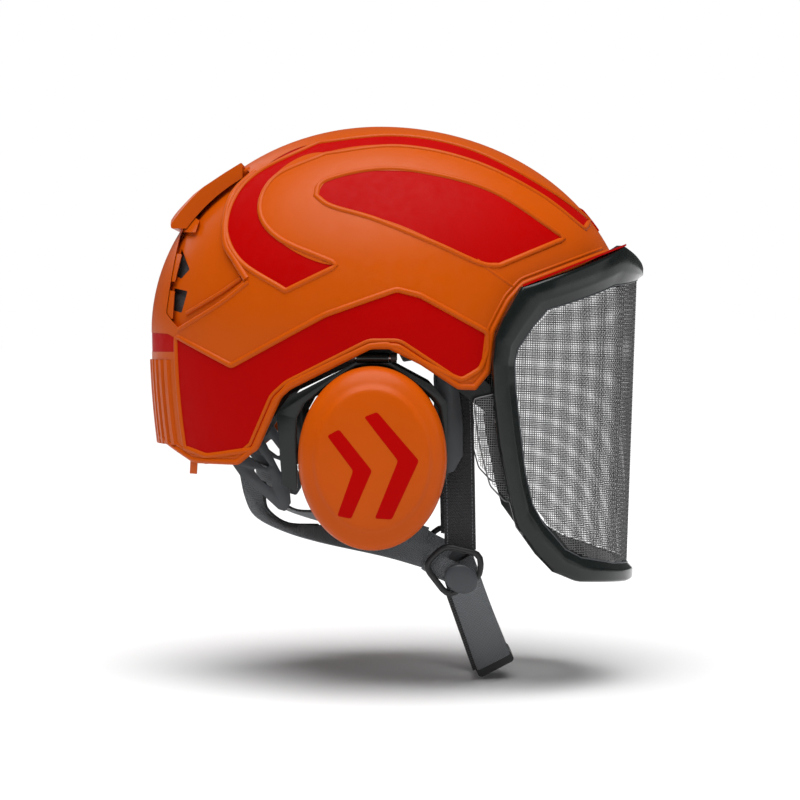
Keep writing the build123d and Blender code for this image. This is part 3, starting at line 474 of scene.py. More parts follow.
def cushion_skin(name, colour):
    """Soft vinyl skin: pebbled grain and shallow creases."""
    made = Shader(name, colour, 0.5, coat=0.05)
    pebbles = made.node("ShaderNodeTexVoronoi", feature="SMOOTH_F1")
    pebbles.inputs["Scale"].default_value = 900.0
    made.link(made.coordinates.outputs["Object"], pebbles.inputs["Vector"])
    made.tint(made.noise(0.012, detail=3.0), 0.85, 1.25)
    made.vary_roughness(made.noise(0.004, detail=3.0), 0.42, 0.6)
    made.bump(made.noise(0.011, detail=3.0), 0.0006)
    made.bump(pebbles.outputs["Distance"], 0.00015)
    return made.material


def foam_skin(name, colour):
    """Moulded foam: fused beads."""
    made = Shader(name, colour, 0.8)
    beads = made.node("ShaderNodeTexVoronoi", feature="F1")
    beads.inputs["Scale"].default_value = 330.0
    made.link(made.coordinates.outputs["Object"], beads.inputs["Vector"])
    made.tint(beads.outputs["Distance"], 0.8, 1.25)
    made.bump(beads.outputs["Distance"], 0.0004)
    return made.material


def material(name):
    """A finished material by its name."""
    return bpy.data.materials[FINISH + name]


class HELMET_OT_materials(bpy.types.Operator):
    """Make every finish of the helmet"""

    bl_idname = "helmet.materials"
    bl_label = "Finishes"

    def execute(self, context):
        tone = colours()
        for name, setting, *numbers in PLASTICS:
            moulded(name, getattr(tone, setting), *numbers)
        metal("steel", STEEL_COLOUR, roughness=0.28)
        wire_finish("mesh_steel", tone.wire)
        webbing("strap_grey", tone.strap_grey, rib_pitch=0.0014)
        webbing("strap_black", tone.strap_black, rib_pitch=0.0021)
        plain_cloth("cradle_cloth", tone.strap_black)
        plain_cloth("stitch_thread", tone.strap_grey)
        cushion_skin("pad_fabric", tone.satin_black)
        foam_skin("liner_foam", tone.foam)
        return {"FINISHED"}


# ---------------------------------------------------------------- meshes


def as_object(data, name):
    """Object in the scene for a mesh or a curve."""
    made = bpy.data.objects.new(name, data)
    bpy.context.scene.collection.objects.link(made)
    return made


def finish_mesh(mesh, name, finish, crease=40.0):
    """Object at the origin for a mesh, with its finish and smooth shading split at creases."""
    mesh.materials.clear()
    mesh.materials.append(material(finish))
    mesh.polygons.foreach_set("material_index", [0] * len(mesh.polygons))
    mesh.shade_smooth()
    mesh.set_sharp_from_angle(angle=radians(crease))
    mesh.update()
    return as_object(mesh, name)


def outward(mesh):
    """Merge doubles and turn a closed mesh's faces outwards."""
    work = bmesh.new()
    work.from_mesh(mesh)
    bmesh.ops.remove_doubles(work, verts=work.verts, dist=1e-6)
    bmesh.ops.recalc_face_normals(work, faces=work.faces)
    work.to_mesh(mesh)
    work.free()
    return mesh


def mesh_from(name, points, faces):
    """Mesh from points in millimetres."""
    mesh = bpy.data.meshes.new(name)
    mesh.from_pydata([Vector(p) * MM for p in points], [], faces)
    return outward(mesh)


def mirrored_mesh(mesh, name):
    """Mesh for the other side of the helmet."""
    copy = mesh.copy()
    copy.name = name
    work = bmesh.new()
    work.from_mesh(copy)
    for vertex in work.verts:
        vertex.co.y = -vertex.co.y
    bmesh.ops.reverse_faces(work, faces=work.faces)
    work.to_mesh(copy)
    work.free()
    return copy


def evaluated_mesh(made, name):
    """Plain mesh of an object with its modifiers applied, and the object removed."""
    graph = bpy.context.evaluated_depsgraph_get()
    mesh = bpy.data.meshes.new_from_object(made.evaluated_get(graph), depsgraph=graph)
    mesh.name = name
    bpy.data.objects.remove(made)
    return mesh


def placed(made, body, slot, *nodes):
    """Put a piece on its body and hide the CAD nodes it stands for; the slot is not used."""
    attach(made, body)
    if nodes:
        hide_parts(*nodes)
    return made


def stitched_rings(rings, closed):
    """Faces between rings of points of equal count, with caps where the run is open."""
    count = len(rings[0])
    points = [point for ring in rings for point in ring]
    faces = []
    last = len(rings) if closed else len(rings) - 1
    for row in range(last):
        below = row * count
        above = ((row + 1) % len(rings)) * count
        for index in range(count):
            after = (index + 1) % count
            faces.append((below + index, below + after, above + after, above + index))
    if not closed:
        faces.append(tuple(range(count)))
        faces.append(tuple((len(rings) - 1) * count + index for index in reversed(range(count))))
    return points, faces


# ---------------------------------------------------------------- node trees


def tree_socket(tree, name, kind, way="INPUT"):
    """Named socket of a node tree."""
    return tree.interface.new_socket(name, in_out=way, socket_type=kind)


def run_tree(made, tree, name, **values):
    """Mesh that a geometry node tree makes of an object, its inputs given by their names."""
    modifier = made.modifiers.new("Shape", "NODES")
    modifier.node_group = tree
    for item in tree.interface.items_tree:
        if item.item_type == "SOCKET" and item.in_out == "INPUT" and item.name in values:
            modifier[item.identifier] = values[item.name]
    return evaluated_mesh(made, name)


def end_of_tree(tree, shape, group_in, group_out):
    """Realize and paint a tree's shape, and send it out."""
    realize = tree.nodes.new("GeometryNodeRealizeInstances")
    paint = tree.nodes.new("GeometryNodeSetMaterial")
    tree.links.new(shape, realize.inputs["Geometry"])
    tree.links.new(realize.outputs["Geometry"], paint.inputs["Geometry"])
    tree.links.new(group_in.outputs["Material"], paint.inputs["Material"])
    tree.links.new(paint.outputs["Geometry"], group_out.inputs["Geometry"])


def tube_tree():
    """Tree that gives paths a round section."""
    name = "Tubes along paths"
    if name in bpy.data.node_groups:
        return bpy.data.node_groups[name]
    tree = bpy.data.node_groups.new(name, "GeometryNodeTree")
    tree_socket(tree, "Geometry", "NodeSocketGeometry")
    tree_socket(tree, "Radius", "NodeSocketFloat")
    tree_socket(tree, "Sides", "NodeSocketInt")
    tree_socket(tree, "Material", "NodeSocketMaterial")
    tree_socket(tree, "Geometry", "NodeSocketGeometry", "OUTPUT")
    group_in = tree.nodes.new("NodeGroupInput")
    group_out = tree.nodes.new("NodeGroupOutput")
    section = tree.nodes.new("GeometryNodeCurvePrimitiveCircle")
    sweep = tree.nodes.new("GeometryNodeCurveToMesh")
    sweep.inputs["Fill Caps"].default_value = True
    tree.links.new(group_in.outputs["Radius"], section.inputs["Radius"])
    tree.links.new(group_in.outputs["Sides"], section.inputs["Resolution"])
    tree.links.new(group_in.outputs["Geometry"], sweep.inputs["Curve"])
    tree.links.new(section.outputs["Curve"], sweep.inputs["Profile Curve"])
    end_of_tree(tree, sweep.outputs["Mesh"], group_in, group_out)
    return tree


def stitch_tree():
    """Tree that lays stitches along paths."""
    name = "Stitches along paths"
    if name in bpy.data.node_groups:
        return bpy.data.node_groups[name]
    tree = bpy.data.node_groups.new(name, "GeometryNodeTree")
    tree_socket(tree, "Geometry", "NodeSocketGeometry")
    tree_socket(tree, "Pitch", "NodeSocketFloat")
    tree_socket(tree, "Thickness", "NodeSocketFloat")
    tree_socket(tree, "Material", "NodeSocketMaterial")
    tree_socket(tree, "Geometry", "NodeSocketGeometry", "OUTPUT")
    group_in = tree.nodes.new("NodeGroupInput")
    group_out = tree.nodes.new("NodeGroupOutput")
    dots = tree.nodes.new("GeometryNodeCurveToPoints")
    dots.mode = "LENGTH"
    ball = tree.nodes.new("GeometryNodeMeshUVSphere")
    ball.inputs["Segments"].default_value = 6
    ball.inputs["Rings"].default_value = 4
    ball.inputs["Radius"].default_value = 1.0
    size = tree.nodes.new("ShaderNodeCombineXYZ")
    long_way = tree.nodes.new("ShaderNodeMath")
    long_way.operation = "MULTIPLY"
    long_way.inputs[1].default_value = 0.42
    put = tree.nodes.new("GeometryNodeInstanceOnPoints")
    tree.links.new(group_in.outputs["Geometry"], dots.inputs["Curve"])
    tree.links.new(group_in.outputs["Pitch"], dots.inputs["Length"])
    tree.links.new(group_in.outputs["Pitch"], long_way.inputs[0])
    tree.links.new(group_in.outputs["Thickness"], size.inputs["X"])
    tree.links.new(group_in.outputs["Thickness"], size.inputs["Y"])
    tree.links.new(long_way.outputs[0], size.inputs["Z"])
    tree.links.new(dots.outputs["Points"], put.inputs["Points"])
    tree.links.new(dots.outputs["Rotation"], put.inputs["Rotation"])
    tree.links.new(ball.outputs["Mesh"], put.inputs["Instance"])
    tree.links.new(size.outputs["Vector"], put.inputs["Scale"])
    end_of_tree(tree, put.outputs["Instances"], group_in, group_out)
    return tree


def path_object(name, paths):
    """Curve object of straight runs through points in millimetres; each path says if it is closed."""
    data = bpy.data.curves.new(name, "CURVE")
    data.dimensions = "3D"
    for points, closed in paths:
        spline = data.splines.new("POLY")
        spline.points.add(len(points) - 1)
        for place, point in zip(spline.points, points):
            place.co = (*(Vector(point) * MM), 1.0)
        spline.use_cyclic_u = closed
    return as_object(data, name)


def tubes(name, paths, radius, sides, finish, body, slot, *nodes):
    """Piece of round bars along paths."""
    lines = path_object(name + "_paths", paths)
    mesh = run_tree(lines, tube_tree(), name, Radius=radius, Sides=sides, Material=material(finish))
    return placed(finish_mesh(outward(mesh), name, finish, crease=60.0), body, slot, *nodes)


def stitches(name, paths, finish, body, slot):
    """Piece of stitches along paths."""
    mesh = run_tree(
        path_object(name + "_paths", paths),
        stitch_tree(),
        name,
        Pitch=sizes().stitch_pitch,
        Thickness=THREAD_RADIUS,
        Material=material(finish),
    )
    return placed(finish_mesh(mesh, name, finish, crease=80.0), body, slot)


# ---------------------------------------------------------------- paths on the shell


def run_point(points, index, t):
    """Point on the smooth curve through points, between one and the next."""
    a, b = points[index], points[index + 1]
    before = points[index - 1] if index else a * 2 - b
    after = points[index + 2] if index + 2 < len(points) else b * 2 - a
    return 0.5 * (
        2 * a
        + (b - before) * t
        + (2 * before - 5 * a + 4 * b - after) * t * t
        + (3 * a - before - 3 * b + after) * t * t * t
    )


def smooth_run(points, step):
    """Points about a step apart on a smooth curve through the given ones."""
    if len(points) == 2:
        a, b = (Vector(p) for p in points)
        count = max(1, round((b - a).length / step))
        return [a.lerp(b, index / count) for index in range(count)]
    corners = [Vector(p) for p in points]
    run = []
    for index, (a, b) in enumerate(zip(corners, corners[1:])):
        count = max(2, round((b - a).length / step))
        run.extend(run_point(corners, index, part / count) for part in range(count))
    return run


def rounded_run(points, closed, step, radius=2.0):
    """Points along straight runs whose corners are rounded."""
    corners = [Vector(p) for p in points]
    run = []
    count = len(corners)
    for index in range(count):
        corner = corners[index]
        if not closed and index in (0, count - 1):
            run.append(corner)
            continue
        before = corners[index - 1]
        after = corners[(index + 1) % count]
        reach_in = min(radius, (before - corner).length * 0.45)
        reach_out = min(radius, (after - corner).length * 0.45)
        start = corner + (before - corner).normalized() * reach_in
        end = corner + (after - corner).normalized() * reach_out
        for t in (0.0, 0.33, 0.67, 1.0):
            run.append(start.lerp(corner, t).lerp(corner.lerp(end, t), t))
    return finely(run, closed, step)


def finely(points, closed, step):
    """The same path with points no further than a step apart."""
    run = []
    count = len(points)
    for index in range(count if closed else count - 1):
        a = points[index]
        b = points[(index + 1) % count]
        parts = max(1, round((b - a).length / step))
        run.extend(a.lerp(b, part / parts) for part in range(parts))
    if not closed:
        run.append(points[-1])
    return run


def dome_radii(x, z):
    """Semi-axes of the shell's quarter at a place."""
    return (
        FRONT_REACH if x > DOME_X else REAR_REACH,
        HALF_WIDTH,
        CROWN_RISE if z > DOME_Z else SKIRT_DROP,
    )


def dome_point(x, z):
    """Point of the shell's left surface beside a place on the middle plane."""
    reach, width, rise = dome_radii(x, z)
    across = (x - DOME_X) / reach
    up = (z - DOME_Z) / rise
    share = across * across + up * up
    if share >= 1.0:
        scale = 1.0 / sqrt(share)
        return Vector((DOME_X + across * scale * reach, 0.0, DOME_Z + up * scale * rise))
    return Vector((x, width * sqrt(1.0 - share), z))


def dome_normal(point):
    """Outward direction of the shell at a point."""
    reach, width, rise = dome_radii(point.x, point.z)
    return Vector(
        ((point.x - DOME_X) / reach**2, point.y / width**2, (point.z - DOME_Z) / rise**2)
    ).normalized()


def onto_dome(point, lift):
    """The nearest point of the shell, lifted along its normal."""
    reach, width, rise = dome_radii(point.x, point.z)
    away = Vector(((point.x - DOME_X) / reach, point.y / width, (point.z - DOME_Z) / rise))
    away.normalize()
    surface = Vector((DOME_X + away.x * reach, away.y * width, DOME_Z + away.z * rise))
    return surface + dome_normal(surface) * lift


def shifted_on_dome(points, closed, shift, lift):
    """A path on the shell moved sideways along the surface; a closed one moves outwards."""
    count = len(points)
    sideways = []
    for index in range(count):
        before = points[index - 1] if closed or index else points[0]
        after = points[(index + 1) % count] if closed or index < count - 1 else points[-1]
        tangent = (after - before).normalized()
        sideways.append(dome_normal(points[index]).cross(tangent))
    if closed:
        area = sum(a.x * b.z - b.x * a.z for a, b in zip(points, points[1:] + points[:1]))
        outwards = 0.0
        for index in range(count):
            run = points[(index + 1) % count] - points[index - 1]
            outwards += (sideways[index].x * run.z - sideways[index].z * run.x) * (1 if area > 0 else -1)
        if outwards < 0:
            sideways = [-way for way in sideways]
    return [onto_dome(point + way * shift, lift) for point, way in zip(points, sideways)]


def band_loop():
    """Outline of the left lower band on the shell, closed along the rear insert."""
    run = [dome_point(p.x, p.y) for p in rounded_run(LOWER_BAND, False, PATH_STEP)]
    kept = [p for p in run if p.x > -100 or p.y > INSERT_EDGE]
    top, bottom = kept[0], kept[-1]
    edge = []
    steps = 24
    for index in range(steps + 1):
        z = bottom.z + (top.z - bottom.z) * index / steps
        reach, width, rise = dome_radii(-100, z)
        share = 1.0 - (INSERT_EDGE / width) ** 2 - ((z - DOME_Z) / rise) ** 2
        edge.append(Vector((DOME_X - reach * sqrt(share), INSERT_EDGE, z)))
    return kept + edge


def both_sides(points):
    """A path and its mirror image."""
    return points, [Vector((p.x, -p.y, p.z)) for p in points]


def full_loop(points):
    """Closed loop through both sides of a path whose ends lie on the middle plane."""
    other = [Vector((p.x, -p.y, p.z)) for p in reversed(points[1:-1])]
    return points + other


class HELMET_OT_shell_beads(bpy.types.Operator):
    """Raise the beads round the inlays, the rolled rim and the crease lines"""

    bl_idname = "helmet.shell_beads"
    bl_label = "Shell beads"

    def execute(self, context):
        radius = sizes().bead_radius
        bead = radius / MM
        rise = sizes().bead_rise / MM
        closed = []
        for stretches in (CROWN_PANEL, SWOOSH):
            outline = [dome_point(p.x, p.y) for run in stretches for p in smooth_run(run, PATH_STEP)]
            closed.append(outline)
        closed.append(band_loop())
        paths = []
        for outline in closed:
            path = shifted_on_dome(outline, True, BEAD_SHIFT, rise - bead)
            paths.extend((side, True) for side in both_sides(path))
        tubes("inlay_beads", paths, radius, 12, "shell_orange", "root", "shell_orange")

        rim = [dome_point(p.x, p.y) for p in rounded_run(RIM, False, PATH_STEP)]
        rim = [p for p in rim if p.y > 0.5]
        rim = shifted_on_dome(rim, False, RIM_SHIFT, rise - bead)
        for end in (0, -1):
            rim[end].y = 0.0
        inner = shifted_on_dome([onto_dome(p, 0.0) for p in rim], False, RIM_LINE_SHIFT, RIM_LINE_RISE)
        tubes("rolled_rim", [(full_loop(rim), True)], radius, 12, "shell_orange", "root", "shell_orange")
        thin = CREASE_RADIUS
        lines = [(side, False) for side in both_sides(inner[3:-3])]
        run = [onto_dome(dome_point(p.x, p.y), CREASE_RISE - thin) for p in smooth_run(CREASE, PATH_STEP)]
        lines.extend((side, False) for side in both_sides(run))
        tubes("crease_lines", lines, thin * MM, 10, "shell_orange", "root", "shell_orange")
        return {"FINISHED"}


class HELMET_OT_vent_ridges(bpy.types.Operator):
    """Raise the ridges that bound the rear vents"""

    bl_idname = "helmet.vent_ridges"
    bl_label = "Vent ridges"

    def execute(self, context):
        for name, path, radius, rise in VENT_BARS:
            run = [onto_dome(dome_point(p.x, p.y), rise - radius) for p in smooth_run(path, PATH_STEP)]
            paths = [(side, False) for side in both_sides(run)]
            tubes(name, paths, radius * MM, 12, "shell_orange", "root", "shell_orange")
        return {"FINISHED"}


# ---------------------------------------------------------------- visor


def visor_place(angle, height, inset):
    """Point of the visor: angle from the left side round to the front, height on the leaning column."""
    x = (VISOR_REACH - inset) * sin(angle)
    y = (VISOR_HALF_WIDTH - inset) * cos(angle)
    return Vector(
        (
            VISOR_X + x * cos(VISOR_LEAN) + height * sin(VISOR_LEAN),
            y,
            height * cos(VISOR_LEAN) - x * sin(VISOR_LEAN),
        )
    )


def visor_angle(x, z):
    """Angle and height on the visor of a place on the middle plane."""
    local = (x - VISOR_X) * cos(VISOR_LEAN) - z * sin(VISOR_LEAN)
    height = (x - VISOR_X) * sin(VISOR_LEAN) + z * cos(VISOR_LEAN)
    share = min(1.0, local / VISOR_REACH)
    return atan2(share, sqrt(max(0.0, 1.0 - share * share))), height


def visor_outline(which):
    """Angles and heights down the left side of the frame's outer (0) or inner (1) outline."""
    front_x = VISOR_X + VISOR_REACH
    stations = [(front_x + 2, VISOR_FRONT_TOP[which])]
    stations += [pair[which] for pair in VISOR_STATIONS]
    stations += [(front_x + 8, VISOR_FRONT_BOTTOM[which])]
    counts = [14, 14] + [5] * (len(VISOR_STATIONS) - 2) + [20]
    run = []
    for start, end, count in zip(stations, stations[1:], counts):
        a = visor_angle(*start)
        b = visor_angle(*end)
        for part in range(count):
            run.append((a[0] + (b[0] - a[0]) * part / count, a[1] + (b[1] - a[1]) * part / count))
    run.append(visor_angle(*stations[-1]))
    return run


def all_round(side):
    """A run down the left side of the visor, continued up the right side."""
    return side + [(pi - angle, height) for angle, height in reversed(side[1:-1])]


class HELMET_OT_visor_frame(bpy.types.Operator):
    """Sweep the visor frame's section round the visor, and lay the gasket in it"""

    bl_idname = "helmet.visor_frame"
    bl_label = "Visor frame"

    def execute(self, context):
        outer = all_round(visor_outline(0))
        inner = all_round(visor_outline(1))
        rings = []
        for (angle_out, high_out), (angle_in, high_in) in zip(outer, inner):
            ring = []
            for share, inset in FRAME_SECTION:
                angle = angle_out + (angle_in - angle_out) * share
                height = high_out + (high_in - high_out) * share
                ring.append(visor_place(angle, height, inset))
            rings.append(ring)
        points, faces = stitched_rings(rings, True)
        mesh = mesh_from("visor_rim", points, faces)
        made = finish_mesh(mesh, "visor_rim", "black_gloss", crease=24.0)
        placed(made, "visor", "black_gloss", "visor_frame")
        gasket = [visor_place(angle, height, GASKET_INSET) for angle, height in inner]
        tubes("visor_gasket", [(gasket, True)], GASKET_RADIUS, 8, "grey_plastic", "visor", "grey_plastic")
        return {"FINISHED"}


def wire_inset(angle, height):
    """How deep the wires lie: in the window near the face, and behind the frame at the wings."""
    x = visor_place(angle, height, WING_INSET).x
    share = min(1.0, max(0.0, (x - WING_REACH[0]) / (WING_REACH[1] - WING_REACH[0])))
    return WING_INSET + (WIRE_INSET - WING_INSET) * share


def inside(x, z, outline):
    """Whether a place lies inside an outline."""
    found = False
    for (x1, z1), (x2, z2) in zip(outline, outline[1:] + outline[:1]):
        if (z1 > z) != (z2 > z) and x < x1 + (z - z1) * (x2 - x1) / (z2 - z1):
            found = not found
    return found


def runs_of(points, kept):
    """Stretches of a row where its places are kept."""
    runs = []
    current = []
    for point, keep in zip(points, kept):
        if keep:
            current.append(point)
        elif current:
            runs.append(current)
            current = []
    if current:
        runs.append(current)
    return [run for run in runs if len(run) > 1]


def even_angles(pitch):
    """Angles round the visor's wire sheet that lie a pitch apart along it."""
    past = radians(2.0)
    angles = [-past]
    reach = VISOR_REACH - WIRE_INSET
    width = VISOR_HALF_WIDTH - WIRE_INSET
    while angles[-1] < pi + past:
        angle = angles[-1]
        speed = sqrt((reach * cos(angle)) ** 2 + (width * sin(angle)) ** 2)
        angles.append(angle + pitch / speed)
    return angles


def wire_grid():
    """Angles and heights of the crossings, and whether each of them lies on the mesh."""
    pitch = sizes().wire_pitch / MM
    angles = even_angles(pitch)
    heights = [WIRE_BOTTOM + pitch * row for row in range(int(WIRE_RISE / pitch))]
    kept = []
    for height in heights:
        row = [visor_place(angle, height, wire_inset(angle, height)) for angle in angles]
        kept.append([inside(p.x, p.z, MESH_OUTLINE) and not inside(p.x, p.z, LINK_ROOM) for p in row])
    return angles, heights, kept


def cross_wires(angles, heights, kept):
    """Paths of the level wires, with a point at every other crossing."""
    paths = []
    for height, keep in zip(heights, kept):
        points = [visor_place(angle, height, wire_inset(angle, height)) for angle in angles]
        for run in runs_of(points, keep):
            thinned = run[::2] if len(run) % 2 else run[::2] + [run[-1]]
            paths.append((thinned, False))
    return paths


def down_wires(angles, heights, kept):
    """Paths of the upright wires, which pass over and under the level ones."""
    paths = []
    for column, angle in enumerate(angles):
        points = []
        for row, height in enumerate(heights):
            rise = WEAVE_RISE if (row + column) % 2 else -WEAVE_RISE
            points.append(visor_place(angle, height, wire_inset(angle, height) + rise))
        paths.extend((run, False) for run in runs_of(points, [row[column] for row in kept]))
    return paths


class HELMET_OT_visor_wires(bpy.types.Operator):
    """Weave the visor's wire mesh inside its frame"""

    bl_idname = "helmet.visor_wires"
    bl_label = "Visor wires"

    def execute(self, context):
        grid = wire_grid()
        radius = sizes().wire_radius
        for name, paths, edges in (
            ("visor_wires_across", cross_wires(*grid), 4),
            ("visor_wires_down", down_wires(*grid), 3),
        ):
            tubes(name, paths, radius, edges, "mesh_steel", "visor", "mesh_steel", "visor_mesh")
        run = [visor_place(*visor_angle(p.x, p.y), WING_INSET) for p in rounded_run(WING_EDGE, False, 3.0)]
        rims = [(side, False) for side in both_sides(run)]
        tubes("visor_wire_edges", rims, EDGE_WIRE_RADIUS, 8, "mesh_steel", "visor", "mesh_steel")
        return {"FINISHED"}


# ---------------------------------------------------------------- ear muffs


def cover_profile():
    """The cover's section with extra points between the given ones."""
    points = [(share, far, 0.0) for share, far in COVER_SECTION]
    return [(p.x, p.y) for p in smooth_run(points, 1.2)] + [COVER_SECTION[-1]]


def cover_height(x, z):
    """How far the cover's face stands from the middle plane beside a place."""
    share = sqrt(((x - EAR_X) / COVER_HALF_LENGTH) ** 2 + ((z - EAR_Z) / COVER_HALF_HEIGHT) ** 2)
    face = COVER_SECTION[1:]
    for (outer, low), (inner, high) in zip(face, face[1:]):
        if inner <= share <= outer:
            return low + (high - low) * (outer - share) / (outer - inner)
    return COVER_SECTION[-1][1]


def cover_mesh(name):
    """Domed oval cover with a raised middle."""
    around = 112
    rings = []
    for share, far in cover_profile():
        ring = []
        for index in range(around):
            angle = 2 * pi * index / around
            x = EAR_X + COVER_HALF_LENGTH * share * cos(angle)
            z = EAR_Z + COVER_HALF_HEIGHT * share * sin(angle)
            ring.append(Vector((x, far, z)))
        rings.append(ring)
    points, faces = stitched_rings(rings, False)
    return mesh_from(name, points, faces)


def chevron_mesh(name):
    """Both chevrons, laid on the cover's face with a low rounded edge."""
    work = bmesh.new()
    for outline in (REAR_CHEVRON, FRONT_CHEVRON):
        corners = rounded_run(outline, True, 2.0, radius=1.6)
        ring = [work.verts.new((p.x, 0.0, p.y)) for p in corners]
        face = work.faces.new(ring)
        inner = bmesh.ops.inset_individual(work, faces=[face], thickness=CHEVRON_EDGE)
        bmesh.ops.triangulate(work, faces=inner["faces"] + [face])
    for _ in range(3):
        long_edges = [edge for edge in work.edges if edge.calc_length() > 2.5]
        bmesh.ops.subdivide_edges(work, edges=long_edges, cuts=1)
        bmesh.ops.triangulate(work, faces=[face for face in work.faces if len(face.verts) > 4])
    border = {vertex for edge in work.edges if edge.is_boundary for vertex in edge.verts}
    for vertex in work.verts:
        lift = -CHEVRON_SINK if vertex in border else CHEVRON_RISE
        vertex.co.y = cover_height(vertex.co.x, vertex.co.z) + lift
        vertex.co *= MM
    mesh = bpy.data.meshes.new(name)
    work.to_mesh(mesh)
    work.free()
    mesh.update()
    if sum(polygon.normal.y for polygon in mesh.polygons) < 0:
        mesh.flip_normals()
    return mesh


class HELMET_OT_cup_covers(bpy.types.Operator):
    """Form the ear cups' covers and lay their chevrons"""

    bl_idname = "helmet.cup_covers"
    bl_label = "Cup covers"

    def execute(self, context):
        cover = cover_mesh("ear_cover_left")
        chevrons = chevron_mesh("ear_chevrons_left")
        for side, way in PAIR:
            body = f"ear_cup_{side}"
            shape = cover if way > 0 else mirrored_mesh(cover, "ear_cover_right")
            made = finish_mesh(shape, f"ear_cover_{side}", "shell_orange", crease=50.0)
            placed(made, body, "shell_orange", f"cup_cover_{side}")
            shape = chevrons if way > 0 else mirrored_mesh(chevrons, "ear_chevrons_right")
            made = finish_mesh(shape, f"ear_chevrons_{side}", "inlay_red", crease=50.0)
            placed(made, body, "inlay_red", f"cup_chevrons_{side}")
        return {"FINISHED"}


# ---------------------------------------------------------------- pads


def node_copy(node, name):
    """Merged copy of a CAD node's mesh, as an object."""
    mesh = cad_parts[node].data.copy()
    mesh.name = name
    work = bmesh.new()
    work.from_mesh(mesh)
    bmesh.ops.remove_doubles(work, verts=work.verts, dist=2e-6)
    work.to_mesh(mesh)
    work.free()
    return as_object(mesh, name)


def slim_start(node, name, voxel, shrink):
    """Evenly remeshed copy of a CAD solid, a little smaller than it."""
    made = node_copy(node, name)
    remesh = made.modifiers.new("Remesh", "REMESH")
    remesh.mode = "VOXEL"
    remesh.voxel_size = voxel
    start = evaluated_mesh(made, name)
    for vertex, normal in [(v, v.normal.copy()) for v in start.vertices]:
        vertex.co -= normal * shrink
    return start


def blown_up(made, name):
    cloth = made.modifiers.new("Cloth", "CLOTH")
    cloth.settings.use_pressure = True
    cloth.settings.uniform_pressure_force = CLOTH_PRESSURE
    cloth.settings.effector_weights.gravity = 0.0
    cloth.point_cache.frame_start = 1
    cloth.point_cache.frame_end = CLOTH_STEPS
    scene = bpy.context.scene
    for step in range(1, CLOTH_STEPS + 1):
        scene.frame_set(step)
    mesh = evaluated_mesh(made, name)
    scene.frame_set(1)
    return mesh


def swollen(node, name, voxel, shrink, cap):
    """Padded mesh: the CAD solid blown up, and held near its first shape."""
    start = slim_start(node, name, voxel, shrink)
    rest = [vertex.co.copy() for vertex in start.vertices]
    mesh = blown_up(as_object(start, name), name)
    for vertex, home in zip(mesh.vertices, rest):
        move = vertex.co - home
        if move.length > cap:
            vertex.co = home + move.normalized() * cap
    made = as_object(mesh, name)
    smooth = made.modifiers.new("Smooth", "SMOOTH")
    smooth.iterations = 3
    finer = made.modifiers.new("Subdivision", "SUBSURF")
    finer.levels = 1
    finer.render_levels = 1
    return evaluated_mesh(made, name)


def oval_ring(half_length, half_height, far, count=96):
    """Points of an upright oval round an ear cup's middle."""
    ring = []
    for index in range(count):
        angle = 2 * pi * index / count
        x = EAR_X + half_length * cos(angle)
        ring.append(Vector((x, far, EAR_Z + half_height * sin(angle))))
    return ring


class HELMET_OT_pads(bpy.types.Operator):
    """Blow up the ear cushions, the brow pad and the cups' foam"""

    bl_idname = "helmet.pads"
    bl_label = "Pads"

    def execute(self, context):
        for node, name, voxel, finish, fill in EAR_PADS:
            left = swollen(f"{node}_left", f"{name}_left", voxel, EAR_PAD_SHRINK, EAR_PAD_SWELL)
            right = mirrored_mesh(left, f"{name}_right")
            for side, shape in (("left", left), ("right", right)):
                made = finish_mesh(shape, f"{name}_{side}", finish, crease=80.0)
                placed(made, f"ear_cup_{side}", finish, f"{node}_{side}")
        brow = swollen("brow_pad", "brow_cushion", BROW_VOXEL, BROW_SHRINK, BROW_SWELL)
        made = finish_mesh(brow, "brow_cushion", "pad_fabric", crease=80.0)
        placed(made, "root", "pad_fabric", "brow_pad")
        seams = both_sides(oval_ring(*SEAM_OVAL))
        for (side, _), path in zip(PAIR, seams):
            name = f"ear_seal_seam_{side}"
            tubes(name, [(path, True)], SEAM_RADIUS, 8, "pad_fabric", f"ear_cup_{side}", "pad_fabric")
        return {"FINISHED"}


# ---------------------------------------------------------------- harness


def strap_stations(pairs, step):
    """Edge point pairs of a strap, a step apart on smooth runs."""
    firsts = [Vector(a) for a, b in pairs]
    seconds = [Vector(b) for a, b in pairs]
    parts = []
    for a, b in zip(firsts, firsts[1:]):
        parts.append(max(2, round((b - a).length / step)))
    made = []
    for index, count in enumerate(parts):
        for part in range(count):
            t = part / count
            made.append(tuple(run_point(run, index, t) for run in (firsts, seconds)))
    made.append((firsts[-1], seconds[-1]))
    return made


